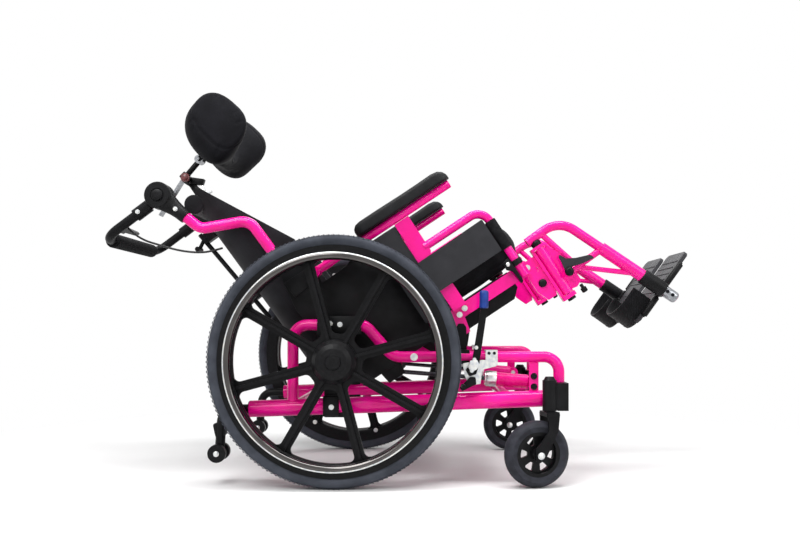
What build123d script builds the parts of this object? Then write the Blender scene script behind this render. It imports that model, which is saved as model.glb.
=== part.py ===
"""Tilt in space wheelchair, 22 inch mag wheels, about a 16 inch seat.

Millimetres. +X is forward, +Y is the sitter's left, +Z is up. The origin is on the floor
under the middle of the chair's length. Side views are drawn as (forward of the rear axle,
height). The seat, tilted back at rest, has its own axes u (along the seat) and v (square to
it); the back has p (forward, square to the canes) and q (up the canes).
"""

import os
from math import atan, cos, hypot, pi, radians, sin, tan

from build123d import *

os.makedirs("parts", exist_ok=True)

# ---- driving dimensions ---------------------------------------------------------------
axle_x = -130.8            # rear axle from the middle of the length
wheel_radius = 281.5       # 22 x 1 3/8 tyre
wheel_y = 280.0            # middle plane of the rear wheels
rim_inner = 227.0
rim_width = 30.0
spoke_count = 8
first_spoke = 15.0         # degrees from straight ahead
handrim_radius = 233.0
handrim_tube = 16.0
handrim_offset = 34.0      # outboard of the wheel's middle plane
axle_diameter = 12.7
fit = 0.05                 # radial play of a shaft in its bore

frame_y = 225.0            # middle plane of each side of the base
rail_tube = 38.1
hump_tube = 25.4
tube_wall = 2.0
rail_rear = (-199.0, 171.0)
rail_front = (496.0, 196.0)
hump_top = 363.0
hump_low = 290.0

caster_y = 261.0
caster_x = 480.0           # swivel axis, forward of the rear axle
caster_radius = 75.0
caster_trail = 31.0
caster_turn = {"right": 12.0, "left": 4.0}   # degrees that each caster stands swivelled

tilt_angle = 33.5          # the seat's tilt at rest
seat_corner = (57.0, 243.0)
tilt_pivot = (285.0, 352.0)
seat_rail_y = 198.0
seat_rail_width = 12.0
seat_rail_height = 30.0
strut_y = 182.0
strut_base = (449.0, 230.0)
strut_seat = (127.0, 255.0)
strut_tube = 32.0
strut_rod = 10.0
strut_slot = 8.0           # play of the rear eye along the strut, each way

cane_y = 190.0
cane_tube = 25.4
arm_y = 217.0
arm_tube_size = 19.0
hanger_y = 198.0
hanger_tube = 22.0
hanger_pin_u = 505.0
shell_half = 174.0
shell_wall = 4.0

sides = (("right", -1), ("left", 1))
seat_cos = cos(radians(tilt_angle))
seat_sin = sin(radians(tilt_angle))
back_up = (-0.589, 0.808)      # direction of the canes, leaning back


# ---- planes and helpers ---------------------------------------------------------------
def side_plane(y):
    """Side view at y: local x is forward of the rear axle, local y is up."""
    return Plane(origin=(axle_x, y, 0), x_dir=(1, 0, 0), z_dir=(0, -1, 0))


def seat_plane(y):
    """Side view in the tilted seat's own u and v."""
    corner = (axle_x + seat_corner[0], y, seat_corner[1])
    return Plane(origin=corner, x_dir=(seat_cos, 0, seat_sin), z_dir=(0, -1, 0))


def back_plane(y):
    """Side view in the back's own p (forward) and q (up the canes)."""
    corner = (axle_x + seat_corner[0], y, seat_corner[1])
    return Plane(origin=corner, x_dir=(back_up[1], 0, -back_up[0]), z_dir=(0, -1, 0))


def tube(plane, points, radii, outer, wall=0.0):
    """Round tube, bent at each inner point."""
    with BuildLine(plane) as route:
        FilletPolyline(*points, radius=radii)
    with BuildSketch(Plane(origin=route.line @ 0, z_dir=route.line % 0)) as ring:
        Circle(outer / 2)
        if wall:
            Circle(outer / 2 - wall, mode=Mode.SUBTRACT)
    sweep(sections=ring.sketch, path=route.line)


def bar(start, end, outer, wall=0.0, mode=Mode.ADD):
    """Straight round bar or tube between two points."""
    along = Vector(*end) - Vector(*start)
    with BuildSketch(Plane(origin=start, z_dir=along)) as ring:
        Circle(outer / 2)
        if wall:
            Circle(outer / 2 - wall, mode=Mode.SUBTRACT)
    extrude(ring.sketch, amount=along.length, mode=mode)


def boss(plane, at, outer, length, bore=0.0, mode=Mode.ADD):
    """Round boss across the plane, half of its length to each side."""
    with BuildSketch(plane) as ring:
        with Locations(at):
            Circle(outer / 2)
            if bore:
                Circle(bore / 2, mode=Mode.SUBTRACT)
    extrude(ring.sketch, amount=length / 2, both=True, mode=mode)


def plate(plane, outline, thickness, corner=0.0, mode=Mode.ADD):
    """Flat plate with rounded corners, half of its thickness to each side."""
    with BuildSketch(plane) as shape:
        with BuildLine():
            Polyline(*outline, close=True)
        make_face()
        if corner:
            fillet(shape.vertices(), corner)
    extrude(shape.sketch, amount=thickness / 2, both=True, mode=mode)


def world(plane, x, y):
    """A point of a side view, in the chair's frame."""
    return tuple(plane.from_local_coords(Vector(x, y, 0)))


# ---- base -----------------------------------------------------------------------------
hump_route = (
    (-101.0, 180.0),
    (-101.0, hump_top),
    (64.0, hump_top),
    (128.0, hump_low),
    (507.0, hump_low),
    (507.0, 232.0),
)
hump_radii = (34, 32, 40, 34)
rail_slope = (rail_front[1] - rail_rear[1]) / (rail_front[0] - rail_rear[0])

for side, out in sides:
    middle = side_plane(out * frame_y)
    with BuildPart() as base_frame:
        tube(middle, hump_route, hump_radii, hump_tube, tube_wall)
        plate(middle, ((439, 205), (460, 205), (460, 284), (439, 284)), 8)
        bar(world(middle, *rail_rear), world(middle, *rail_front), rail_tube)
        bar(
            world(middle, rail_rear[0] - 1, rail_rear[1] - rail_slope),
            world(middle, *rail_front),
            rail_tube - 2 * tube_wall,
            mode=Mode.SUBTRACT,
        )
    base_frame.part.label = f"base_frame_{side}"
    export_step(base_frame.part, f"parts/base_frame_{side}.step")

cross_tube_places = ((-101.0, 173.0), (398.0, 191.5))
cross_half = frame_y - rail_tube / 2
with BuildPart() as base_cross_tubes:
    for place in cross_tube_places:
        bar(
            world(side_plane(-cross_half), *place),
            world(side_plane(cross_half), *place),
            hump_tube,
            tube_wall,
        )
base_cross_tubes.part.label = "base_cross_tubes"
export_step(base_cross_tubes.part, "parts/base_cross_tubes.step")

rail_at_axle = rail_rear[1] + rail_slope * (0 - rail_rear[0])
with BuildPart() as axle_mounts:
    for side, out in sides:
        middle = side_plane(out * frame_y)
        plate(
            middle,
            ((-29, 198), (19, 198), (17, hump_top - 10), (-27, hump_top - 10)),
            10,
            4,
        )
        for height, size in ((rail_at_axle, rail_tube), (hump_top, hump_tube)):
            plate(
                middle,
                (
                    (-30, height - size / 2 - 6),
                    (19, height - size / 2 - 6),
                    (19, height + size / 2 + 7),
                    (-30, height + size / 2 + 7),
                ),
                26,
                5,
            )
        for height, size in ((rail_at_axle, rail_tube), (hump_top, hump_tube)):
            run = 40 * rail_slope if size == rail_tube else 0
            bar(
                world(middle, -40, height - run),
                world(middle, 40, height + run),
                size + 2 * fit,
                mode=Mode.SUBTRACT,
            )
        sleeve = side_plane(out * (frame_y + 10))
        boss(sleeve, (0, wheel_radius), 30, 30)
        boss(side_plane(out * (frame_y + 35)), (0, wheel_radius), axle_diameter, 96)
axle_mounts.part.label = "axle_mounts"
export_step(axle_mounts.part, "parts/axle_mounts.step")

anti_tip_wheel_at = (-270.0, 72.0)
with BuildPart() as anti_tip_tubes:
    for side, out in sides:
        middle = side_plane(out * frame_y)
        plug = (rail_rear[0] + 46, rail_rear[1] + 46 * rail_slope)
        tube(middle, (plug, (-262, 168.7), (-268, 84)), 30, 22)
        bar(
            world(middle, *plug),
            world(middle, rail_rear[0] - 2, rail_rear[1] - 2 * rail_slope),
            rail_tube - 2 * tube_wall - 2 * fit,
        )
        boss(middle, anti_tip_wheel_at, 24, 12)
        boss(middle, anti_tip_wheel_at, 8, 54)
        plate(middle, ((-283, 138), (-252, 144), (-254, 110), (-276, 106)), 16, 6)
anti_tip_tubes.part.label = "anti_tip_tubes"
export_step(anti_tip_tubes.part, "parts/anti_tip_tubes.step")

for side, out in sides:
    with BuildPart() as anti_tip_wheel:
        for shift in (-18.5, 18.5):
            boss(
                side_plane(out * frame_y + shift),
                anti_tip_wheel_at,
                41,
                12,
                8 + 2 * fit,
            )
    anti_tip_wheel.part.label = f"anti_tip_wheel_{side}"
    export_step(anti_tip_wheel.part, f"parts/anti_tip_wheel_{side}.step")

# ---- rear wheels ----------------------------------------------------------------------
half_pitch = 180 / spoke_count
spoke_half = 12.0
window_radii = (64.0, rim_inner - 1)
window_corners = []
for corner_radius in window_radii:
    corner_angle = radians(half_pitch) - atan(spoke_half / corner_radius)
    for turn in (-corner_angle, corner_angle):
        window_corners.append((corner_radius * cos(turn), corner_radius * sin(turn)))
inner_low, inner_high, outer_low, outer_high = window_corners
with BuildSketch() as spoke_window:
    with BuildLine():
        Line(inner_low, outer_low)
        ThreePointArc(outer_low, (window_radii[1], 0), outer_high)
        Line(outer_high, inner_high)
        Line(inner_high, inner_low)
    make_face()
    fillet(spoke_window.vertices(), 13)

for side, out in sides:
    hub = (axle_x, out * wheel_y, wheel_radius)
    section = Plane(origin=hub, x_dir=(0, out, 0), z_dir=(out, 0, 0))
    spin = Axis(hub, (0, 1, 0))
    face = Plane(origin=hub, x_dir=(1, 0, 0), z_dir=(0, -1, 0))

    with BuildPart() as tyre:
        with BuildSketch(section):
            with BuildLine():
                Polyline(
                    (-18.5, 266),
                    (-15.5, 258.3),
                    (-12, 258.3),
                    (-12, 252),
                    (12, 252),
                    (12, 258.3),
                    (15.5, 258.3),
                    (18.5, 266),
                )
                ThreePointArc((18.5, 266), (0, wheel_radius), (-18.5, 266))
            make_face()
        revolve(axis=spin)
    tyre.part.label = f"tyre_{side}"
    export_step(tyre.part, f"parts/tyre_{side}.step")

    with BuildPart() as mag_wheel:
        with BuildSketch(section):
            with BuildLine():
                Polyline(
                    (-15, 230),
                    (-15, 258),
                    (-12.3, 258),
                    (-12.3, 251.8),
                    (12.3, 251.8),
                    (12.3, 258),
                    (15, 258),
                    (15, 230),
                    (11, rim_inner),
                    (-11, rim_inner),
                    close=True,
                )
            make_face()
        revolve(axis=spin)
        with BuildSketch(face):
            Circle(rim_inner + 1)
            with PolarLocations(0, spoke_count, start_angle=first_spoke + half_pitch):
                add(spoke_window.sketch, mode=Mode.SUBTRACT)
        extrude(amount=3.5, both=True)
        for n in range(spoke_count):
            turn = radians(first_spoke + n * 360 / spoke_count)
            rib_plane = Plane(
                origin=hub, x_dir=(0, out, 0), z_dir=(out * sin(turn), 0, -out * cos(turn))
            )
            plate(rib_plane, ((-15, 40), (15, 40), (10, 229), (-10, 229)), 7)
        with BuildSketch(section):
            with BuildLine():
                Polyline(
                    (-28, 0),
                    (-28, 27),
                    (-10, 32),
                    (-10, 50),
                    (12, 50),
                    (18, 47),
                    (27, 40),
                    (32, 30),
                    (34, 18),
                    (38, 16),
                    (38, 0),
                    close=True,
                )
            make_face()
        revolve(axis=spin)
        bar(
            (axle_x, out * (wheel_y - 30), wheel_radius),
            (axle_x, out * (wheel_y + 30), wheel_radius),
            axle_diameter + 2 * fit,
            mode=Mode.SUBTRACT,
        )
    mag_wheel.part.label = f"mag_wheel_{side}"
    export_step(mag_wheel.part, f"parts/mag_wheel_{side}.step")

    with BuildPart() as handrim:
        for n in range(spoke_count):
            turn = radians(first_spoke + n * 360 / spoke_count)
            foot = (
                axle_x + handrim_radius * cos(turn),
                out * (wheel_y + rim_width / 2),
                wheel_radius + handrim_radius * sin(turn),
            )
            bar(foot, (foot[0], out * (wheel_y + handrim_offset + 4), foot[2]), 8)
        with BuildSketch(section):
            with Locations((handrim_offset, handrim_radius)):
                Circle(handrim_tube / 2)
        revolve(axis=spin)
    handrim.part.label = f"handrim_{side}"
    export_step(handrim.part, f"parts/handrim_{side}.step")

# ---- casters --------------------------------------------------------------------------
with BuildSketch() as caster_window:
    with BuildLine():
        Polyline((-8, -4), (9, -11), (9, 11), (-8, 4), close=True)
    make_face()
    fillet(caster_window.vertices(), 3)

block_x = 510.0
with BuildPart() as caster_housings:
    for side, out in sides:
        stem = (axle_x + caster_x, out * caster_y, 0)
        with BuildSketch(Plane(origin=(stem[0], stem[1], 171))):
            Circle(16)
        extrude(amount=68)
        with BuildSketch(Plane(origin=(stem[0], stem[1], 239))):
            Circle(14)
        extrude(amount=8, taper=30)
        with BuildSketch(Plane(origin=(axle_x + block_x - 0.8, out * 241, 171))):
            Rectangle(24, 57)
        extrude(amount=62)
        plate(
            side_plane(out * caster_y),
            ((caster_x, 174), (block_x, 174), (block_x, 230), (caster_x, 230)),
            16,
        )
        bar(
            (axle_x + 507, out * frame_y, 231.5),
            (axle_x + 507, out * frame_y, 240),
            hump_tube + 2 * fit,
            mode=Mode.SUBTRACT,
        )
        bar(
            (stem[0], stem[1], 165),
            (stem[0], stem[1], 236),
            12 + 2 * fit,
            mode=Mode.SUBTRACT,
        )
caster_housings.part.label = "caster_housings"
export_step(caster_housings.part, "parts/caster_housings.step")

for side, out in sides:
    turn = radians(caster_turn[side])
    forward = (cos(turn), out * -sin(turn), 0)
    across = (out * sin(turn), cos(turn), 0)
    stem = Vector(axle_x + caster_x, out * caster_y, 0)
    hub = stem - Vector(*forward) * caster_trail + Vector(0, 0, caster_radius)
    side_view = Plane(origin=stem, x_dir=forward, z_dir=(-across[0], -across[1], 0))
    wheel_spot = (-caster_trail, caster_radius)
    section = Plane(origin=hub, x_dir=across, z_dir=forward)
    spin = Axis(tuple(hub), across)
    face = Plane(origin=hub, x_dir=forward, z_dir=(-across[0], -across[1], 0))

    with BuildPart() as caster_fork:
        for shift in (-25.5, 25.5):
            plate(
                side_view.offset(shift),
                ((-14, 168), (14, 168), (10, 128), (-22, 62), (-42, 62), (-42, 88), (-12, 128)),
                5,
                4,
            )
        crown = Plane(origin=(stem.X, stem.Y, 159), x_dir=forward, z_dir=(0, 0, 1))
        with BuildSketch(crown):
            RectangleRounded(30, 56, 6)
        extrude(amount=10)
        bar((stem.X, stem.Y, 160), (stem.X, stem.Y, 230), 12)
        bar((stem.X, stem.Y, 165), (stem.X, stem.Y, 170.6), 26)
        boss(side_view, wheel_spot, 10, 62)
        boss(side_view, wheel_spot, 15, 60)
        boss(side_view, wheel_spot, 24, 46, mode=Mode.SUBTRACT)
        boss(side_view, wheel_spot, 10, 60)
    caster_fork.part.label = f"caster_fork_{side}"
    export_step(caster_fork.part, f"parts/caster_fork_{side}.step")

    with BuildPart() as caster_wheel:
        with BuildSketch(section):
            with BuildLine():
                Polyline(
                    (-15, 50),
                    (-12, 54),
                    (12, 54),
                    (15, 50),
                    (15, 42),
                    (-15, 42),
                    close=True,
                )
            make_face()
        revolve(axis=spin)
        with BuildSketch(face):
            Circle(43)
            with PolarLocations(29.5, 6, start_angle=57):
                add(caster_window.sketch, mode=Mode.SUBTRACT)
        extrude(amount=4, both=True)
        boss(side_view, wheel_spot, 30, 44)
        boss(side_view, wheel_spot, 10 + 2 * fit, 60, mode=Mode.SUBTRACT)
    caster_wheel.part.label = f"caster_wheel_{side}"
    export_step(caster_wheel.part, f"parts/caster_wheel_{side}.step")

    with BuildPart() as caster_tyre:
        with BuildSketch(section):
            with BuildLine():
                Polyline((-19, 62), (-15.2, 50.1), (-12, 54.1), (12, 54.1), (15.2, 50.1), (19, 62))
                ThreePointArc((19, 62), (0, caster_radius), (-19, 62))
            make_face()
        revolve(axis=spin)
    caster_tyre.part.label = f"caster_tyre_{side}"
    export_step(caster_tyre.part, f"parts/caster_tyre_{side}.step")

# ---- wheel locks ----------------------------------------------------------------------
lock_y = 250.0
lock_pivot = (306.0, 260.0)
shoe_pivot = (309.0, 238.0)
shoe_bar = (286.5, 226.0)
lever_top = (334.0, 441.0)
with BuildPart() as lock_mounts:
    for side, out in sides:
        plate(
            side_plane(out * (lock_y - 2)),
            (
                (286, 276),
                (330, 284),
                (362, 282),
                (362, 270),
                (330, 262),
                (326, 230),
                (300, 226),
                (290, 250),
            ),
            4,
            2,
        )
        saddle = side_plane(out * (frame_y + 4.5))
        plate(saddle, ((338, 272), (365, 272), (365, 306), (338, 306)), 34)
        bar(
            world(side_plane(out * frame_y), 330, hump_low),
            world(side_plane(out * frame_y), 372, hump_low),
            hump_tube + 2 * fit,
            mode=Mode.SUBTRACT,
        )
        boss(side_plane(out * (lock_y + 2)), lock_pivot, 9, 8)
        boss(side_plane(out * (lock_y + 2)), shoe_pivot, 8, 8)
lock_mounts.part.label = "lock_mounts"
export_step(lock_mounts.part, "parts/lock_mounts.step")

for side, out in sides:
    with BuildPart() as lock_lever:
        lever_plane = side_plane(out * (lock_y + 3))
        plate(
            lever_plane,
            ((292, 262), (300, 247), (316, 252), (323, 276), (341, 398), (326, 401), (306, 277)),
            4,
            4,
        )
        boss(lever_plane, lock_pivot, 9 + 2 * fit, 10, mode=Mode.SUBTRACT)
        boss(lever_plane, shoe_pivot, 15, 10, mode=Mode.SUBTRACT)
    lock_lever.part.label = f"lock_lever_{side}"
    export_step(lock_lever.part, f"parts/lock_lever_{side}.step")

    with BuildPart() as lock_grip:
        bar(
            world(lever_plane, 333.2, 400.5),
            world(lever_plane, *lever_top),
            21,
        )
        fillet(lock_grip.edges(), 5)
    lock_grip.part.label = f"lock_grip_{side}"
    export_step(lock_grip.part, f"parts/lock_grip_{side}.step")

    with BuildPart() as lock_shoe:
        plate(
            side_plane(out * (lock_y + 7.8)),
            ((314, 246), (302, 246), (278, 222), (284, 214), (316, 230)),
            4,
            3,
        )
        boss(side_plane(out * (lock_y + 3)), shoe_pivot, 13, 5.6)
        boss(side_plane(out * (lock_y + 3)), shoe_pivot, 8 + 2 * fit, 8, mode=Mode.SUBTRACT)
        boss(side_plane(out * (lock_y + 28)), shoe_bar, 10, 40)
    lock_shoe.part.label = f"lock_shoe_{side}"
    export_step(lock_shoe.part, f"parts/lock_shoe_{side}.step")

# ---- tilt pivots and gas struts -------------------------------------------------------
with BuildPart() as tilt_brackets:
    for side, out in sides:
        plate(
            side_plane(out * 209.2),
            ((272, 278), (298, 278), (296, 358), (290, 366), (278, 366), (273, 358)),
            5,
            2,
        )
        plate(
            side_plane(out * 221),
            ((268, 274), (302, 274), (302, 306), (268, 306)),
            28,
        )
        bar(
            world(side_plane(out * frame_y), 262, hump_low),
            world(side_plane(out * frame_y), 308, hump_low),
            hump_tube + 2 * fit,
            mode=Mode.SUBTRACT,
        )
        boss(side_plane(out * 201), tilt_pivot, 12, 22)
        boss(side_plane(out * 197), strut_base, 10, 47.6)
tilt_brackets.part.label = "tilt_brackets"
export_step(tilt_brackets.part, "parts/tilt_brackets.step")

strut_run = (strut_seat[0] - strut_base[0], strut_seat[1] - strut_base[1])
strut_length = hypot(*strut_run)
strut_way = (strut_run[0] / strut_length, strut_run[1] / strut_length)
strut_bore_depth = 96.0


def strut_point(distance):
    """Point on the strut's middle line, measured from its front eye."""
    return (strut_base[0] + strut_way[0] * distance, strut_base[1] + strut_way[1] * distance)


with BuildPart() as strut_tubes:
    for side, out in sides:
        middle = side_plane(out * strut_y)
        bar(world(middle, *strut_point(9)), world(middle, *strut_point(109)), strut_tube)
        boss(middle, strut_base, 28, 20)
        bar(
            world(middle, *strut_point(109 - strut_bore_depth)),
            world(middle, *strut_point(110)),
            strut_rod + 2 * fit,
            mode=Mode.SUBTRACT,
        )
        boss(middle, strut_base, 10 + 2 * fit, 40, mode=Mode.SUBTRACT)
strut_tubes.part.label = "strut_tubes"
export_step(strut_tubes.part, "parts/strut_tubes.step")

with BuildPart() as strut_rods:
    for side, out in sides:
        middle = side_plane(out * strut_y)
        bar(
            world(middle, *strut_point(45)),
            world(middle, *strut_point(strut_length - 14)),
            strut_rod,
        )
        eye = Plane(
            origin=world(middle, *strut_seat),
            x_dir=(strut_way[0], 0, strut_way[1]),
            z_dir=(0, -1, 0),
        )
        with BuildSketch(eye):
            SlotOverall(32 + 2 * strut_slot, 32)
            SlotOverall(10 + 2 * strut_slot, 12, mode=Mode.SUBTRACT)
        extrude(amount=5, both=True)
strut_rods.part.label = "strut_rods"
export_step(strut_rods.part, "parts/strut_rods.step")

# ---- seat -----------------------------------------------------------------------------
rail_half = seat_rail_height / 2
rail_end_u = 484.0
with BuildPart() as seat_frame:
    for side, out in sides:
        middle = seat_plane(out * seat_rail_y)
        plate(
            middle,
            ((0, -rail_half), (452, -rail_half), (452, rail_half), (0, rail_half)),
            seat_rail_width,
            3,
        )
        plate(
            middle,
            ((446, 14), (492, 14), (492, -60), (480, -90), (458, -90), (446, -60)),
            6,
            3,
        )
        plate(
            middle,
            ((rail_end_u, -112), (491, -112), (491, 29.5), (rail_end_u, 29.5)),
            18,
        )
        for low, high in ((22.5, 29.5), (-112, -102)):
            plate(middle, ((486, low), (518, low), (518, high), (486, high)), 26)
        boss(middle, (470, -14), 15, 20, mode=Mode.SUBTRACT)
        bar(
            world(middle, hanger_pin_u, -120),
            world(middle, hanger_pin_u, 40),
            10 + 2 * fit,
            mode=Mode.SUBTRACT,
        )
        plate(
            seat_plane(out * 201),
            ((226, -12), (274, -12), (266, -50), (234, -50)),
            6,
            2,
        )
        boss(side_plane(out * 201), tilt_pivot, 12 + 2 * fit, 40, mode=Mode.SUBTRACT)
        plate(
            seat_plane(out * 190),
            ((44, -46), (86, -46), (94, 12), (36, 12)),
            4,
            2,
        )
        boss(side_plane(out * 183), strut_seat, 10, 18)
    for u in (14.0, 432.0):
        bar(
            world(seat_plane(-194), u, 0),
            world(seat_plane(194), u, 0),
            22,
            tube_wall,
        )
seat_frame.part.label = "seat_frame"
export_step(seat_frame.part, "parts/seat_frame.step")

pan_outline = (
    (30, 15),
    (30, -11),
    (150, -11),
    (166, -45),
    (396, -45),
    (417, -26),
    (417, 15),
)
pan_half = 174.0
with BuildPart() as seat_pan:
    with BuildSketch(seat_plane(0)):
        with BuildLine():
            Polyline(*pan_outline, close=True)
        make_face()
    extrude(amount=pan_half, both=True)
    with BuildSketch(seat_plane(0)):
        with BuildLine():
            Polyline(*pan_outline, close=True)
        make_face()
        offset(amount=-3, kind=Kind.INTERSECTION)
    extrude(amount=pan_half - 3, both=True, mode=Mode.SUBTRACT)
    plate(seat_plane(0), ((42, 15), (412, 15), (412, 17.6), (42, 17.6)), 400)
seat_pan.part.label = "seat_pan"
export_step(seat_pan.part, "parts/seat_pan.step")

# the cushion's sections from back to front: u, bottom, top, half width
cushion_sections = (
    (70, 21, 128, 184),
    (110, 19, 144, 192),
    (200, 19, 140, 195),
    (330, 19, 143, 195),
    (410, 19, 150, 195),
    (446, 22, 148, 191),
    (466, 34, 138, 182),
    (480, 64, 112, 164),
)
with BuildPart() as seat_cushion:
    for u, low, high, half in cushion_sections:
        across = Plane(
            origin=world(seat_plane(0), u, 0),
            x_dir=(0, 1, 0),
            z_dir=(seat_cos, 0, seat_sin),
        )
        waist = (low + high) / 2
        with BuildSketch(across):
            with BuildLine():
                Line((-half + 12, low), (half - 12, low))
                ThreePointArc((half - 12, low), (half, waist), (half - 16, high - 6))
                ThreePointArc((half - 16, high - 6), (0, high), (-half + 16, high - 6))
                ThreePointArc((-half + 16, high - 6), (-half, waist), (-half + 12, low))
            make_face()
    loft(ruled=True)
seat_cushion.part.label = "seat_cushion"
export_step(seat_cushion.part, "parts/seat_cushion.step")

# ---- armrests and side guards ---------------------------------------------------------
post_y = 215.0
with BuildPart() as arm_posts:
    for side, out in sides:
        middle = seat_plane(out * post_y)
        plate(
            middle,
            (
                (258, 10),
                (292, 10),
                (292, 64),
                (286, 74),
                (286, 146),
                (292, 156),
                (292, 250.5),
                (254, 250.5),
                (254, 150),
                (258, 140),
            ),
            14,
        )
        plate(seat_plane(out * 206.1), ((258, -12), (292, -12), (292, 40), (258, 40)), 4)
        tube(middle, ((284, 171), (442, 171), (442, -12)), 32, 20, tube_wall)
        plate(seat_plane(out * 209.5), ((429, -16), (455, -16), (455, 12), (429, 12)), 11)
arm_posts.part.label = "arm_posts"
export_step(arm_posts.part, "parts/arm_posts.step")

with BuildPart() as skirt_guards:
    for side, out in sides:
        plate(
            seat_plane(out * 227.2),
            ((250, 66), (427, 66), (427, 150), (250, 147)),
            4,
            3,
        )
        plate(
            seat_plane(out * post_y),
            ((190, 22), (252, 22), (252, 245), (198, 245), (190, 190)),
            4,
            3,
        )
skirt_guards.part.label = "skirt_guards"
export_step(skirt_guards.part, "parts/skirt_guards.step")

arm_pivot = (44.0, 261.0)
for side, out in sides:
    middle = seat_plane(out * arm_y)
    with BuildPart() as arm_tube:
        bar(world(middle, *arm_pivot), world(middle, 411, 261), arm_tube_size, tube_wall)
        boss(middle, arm_pivot, 24, 18)
        plate(middle, ((60, 250), (118, 253), (112, 272), (70, 272)), 8, 3)
        boss(middle, arm_pivot, 10 + 2 * fit, 40, mode=Mode.SUBTRACT)
    arm_tube.part.label = f"arm_tube_{side}"
    export_step(arm_tube.part, f"parts/arm_tube_{side}.step")

    with BuildPart() as arm_pad:
        with BuildSketch(seat_plane(out * arm_y)):
            with BuildLine():
                Polyline((418, 284), (412, 271), (170, 271), (168, 296), (172, 300), (398, 300))
                ThreePointArc((398, 300), (412, 295), (418, 284))
            make_face()
        extrude(amount=25, both=True)
        fillet(arm_pad.edges().group_by(Axis.Z)[-1], 5)
    arm_pad.part.label = f"arm_pad_{side}"
    export_step(arm_pad.part, f"parts/arm_pad_{side}.step")

# ---- back -----------------------------------------------------------------------------
cane_foot = (46.4, 257.5)
cane_bend = (-208.3, 606.9)
cane_dip = (-322.0, 587.0)
cane_end = (-376.0, 630.0)
handle_pivot = (-418.0, 663.5)
with BuildPart() as back_canes:
    for side, out in sides:
        middle = side_plane(out * cane_y)
        tube(middle, (cane_foot, cane_bend, cane_dip, cane_end), (38, 32), cane_tube, tube_wall)
        plate(
            seat_plane(out * 188.9),
            ((-13, -12), (34, -12), (34, 14), (13, 60), (-13, 60)),
            6,
        )
        boss(seat_plane(out * 188.9), (14, 0), 22 + 2 * fit, 8, mode=Mode.SUBTRACT)
        plate(
            seat_plane(out * 204.4),
            ((-26, 246), (54, 250), (54, 272), (-26, 276)),
            4,
            4,
        )
        plate(seat_plane(out * 198), ((-24, 250), (-8, 250), (-8, 272), (-24, 272)), 12)
        boss(seat_plane(out * 217), arm_pivot, 10, 26)
back_canes.part.label = "back_canes"
export_step(back_canes.part, "parts/back_canes.step")

# the back's side outline, forward of the canes and up them
back_outline = (
    (-92, 70),
    (-92, 480),
    (-84, 560),
    (-68, 590),
    (-52, 584),
    (58, 356),
    (64, 200),
    (58, 110),
    (30, 70),
)
cross_section_plane = Plane(
    origin=world(side_plane(0), *seat_corner),
    x_dir=(back_up[1], 0, -back_up[0]),
    z_dir=(back_up[0], 0, back_up[1]),
)


def shell_section(front, rear, half, corner):
    """U-shaped face across the back, closed by its front edge."""
    with BuildSketch(cross_section_plane) as section:
        with Locations(((front + rear) / 2, 0)):
            Rectangle(front - rear, 2 * half)
        rearward = Axis(cross_section_plane.origin, cross_section_plane.x_dir)
        fillet(section.vertices().group_by(rearward)[0], corner)
    return section.sketch


with BuildPart() as back_shell:
    extrude(shell_section(90, -92, shell_half, 62), amount=640)
    extrude(
        shell_section(91, -92 + shell_wall, shell_half - shell_wall, 58),
        amount=640,
        mode=Mode.SUBTRACT,
    )
    with BuildSketch(back_plane(0)) as shell_side:
        with BuildLine():
            Polyline(*back_outline, close=True)
        make_face()
        fillet(shell_side.vertices(), 7)
    extrude(amount=200, both=True, mode=Mode.INTERSECT)
back_shell.part.label = "back_shell"
export_step(back_shell.part, "parts/back_shell.step")

with BuildPart() as back_cushion:
    extrude(shell_section(90, -92 + shell_wall + 0.2, shell_half - shell_wall - 0.2, 57.8), amount=600)
    with BuildSketch(cross_section_plane):
        with BuildLine():
            Polyline((95, 128), (95, -128), (40, -130), (-10, -118))
            ThreePointArc((-10, -118), (-40, 0), (-10, 118))
            Polyline((-10, 118), (40, 130), (95, 128))
        make_face()
    extrude(amount=640, mode=Mode.SUBTRACT)
    with BuildSketch(back_plane(0)) as cushion_side:
        with BuildLine():
            Polyline(*back_outline, close=True)
        make_face()
        offset(amount=-3, kind=Kind.INTERSECTION)
        fillet(cushion_side.vertices(), 6)
    extrude(amount=200, both=True, mode=Mode.INTERSECT)
back_cushion.part.label = "back_cushion"
export_step(back_cushion.part, "parts/back_cushion.step")

accessory_top = (-343.0, 581.0)
accessory_low = (-172.0, 378.0)
accessory_y = -120.0
with BuildPart() as accessory_bar:
    middle = side_plane(accessory_y)
    bar(world(middle, *accessory_top), world(middle, *accessory_low), 11)
    for q in (300.0, 480.0):
        plate(back_plane(accessory_y), ((-124, q), (-92.3, q), (-92.3, q + 24), (-124, q + 24)), 20)
    bar(world(middle, -332, 571), world(middle, -344, 546), 9)
    bar(world(side_plane(accessory_y - 16), -345, 545), world(side_plane(accessory_y + 16), -345, 545), 12)
accessory_bar.part.label = "accessory_bar"
export_step(accessory_bar.part, "parts/accessory_bar.step")

# ---- push handle ----------------------------------------------------------------------
handle_way = (-0.80, -0.60)
handle_plane = Plane(
    origin=world(side_plane(0), *handle_pivot),
    x_dir=(handle_way[0], 0, handle_way[1]),
    z_dir=(-handle_way[1], 0, handle_way[0]),
)
handle_arm_y = 179.0
handle_reach = 163.0
lug_reach = 120.0
lever_pin_y = -(handle_arm_y - 28)
cane_last = (cane_end[0] - cane_dip[0], cane_end[1] - cane_dip[1])


def cane_point(beyond):
    """Point on the middle line of a cane's last straight, beyond its end."""
    share = beyond / hypot(*cane_last)
    return (cane_end[0] + cane_last[0] * share, cane_end[1] + cane_last[1] * share)


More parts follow.
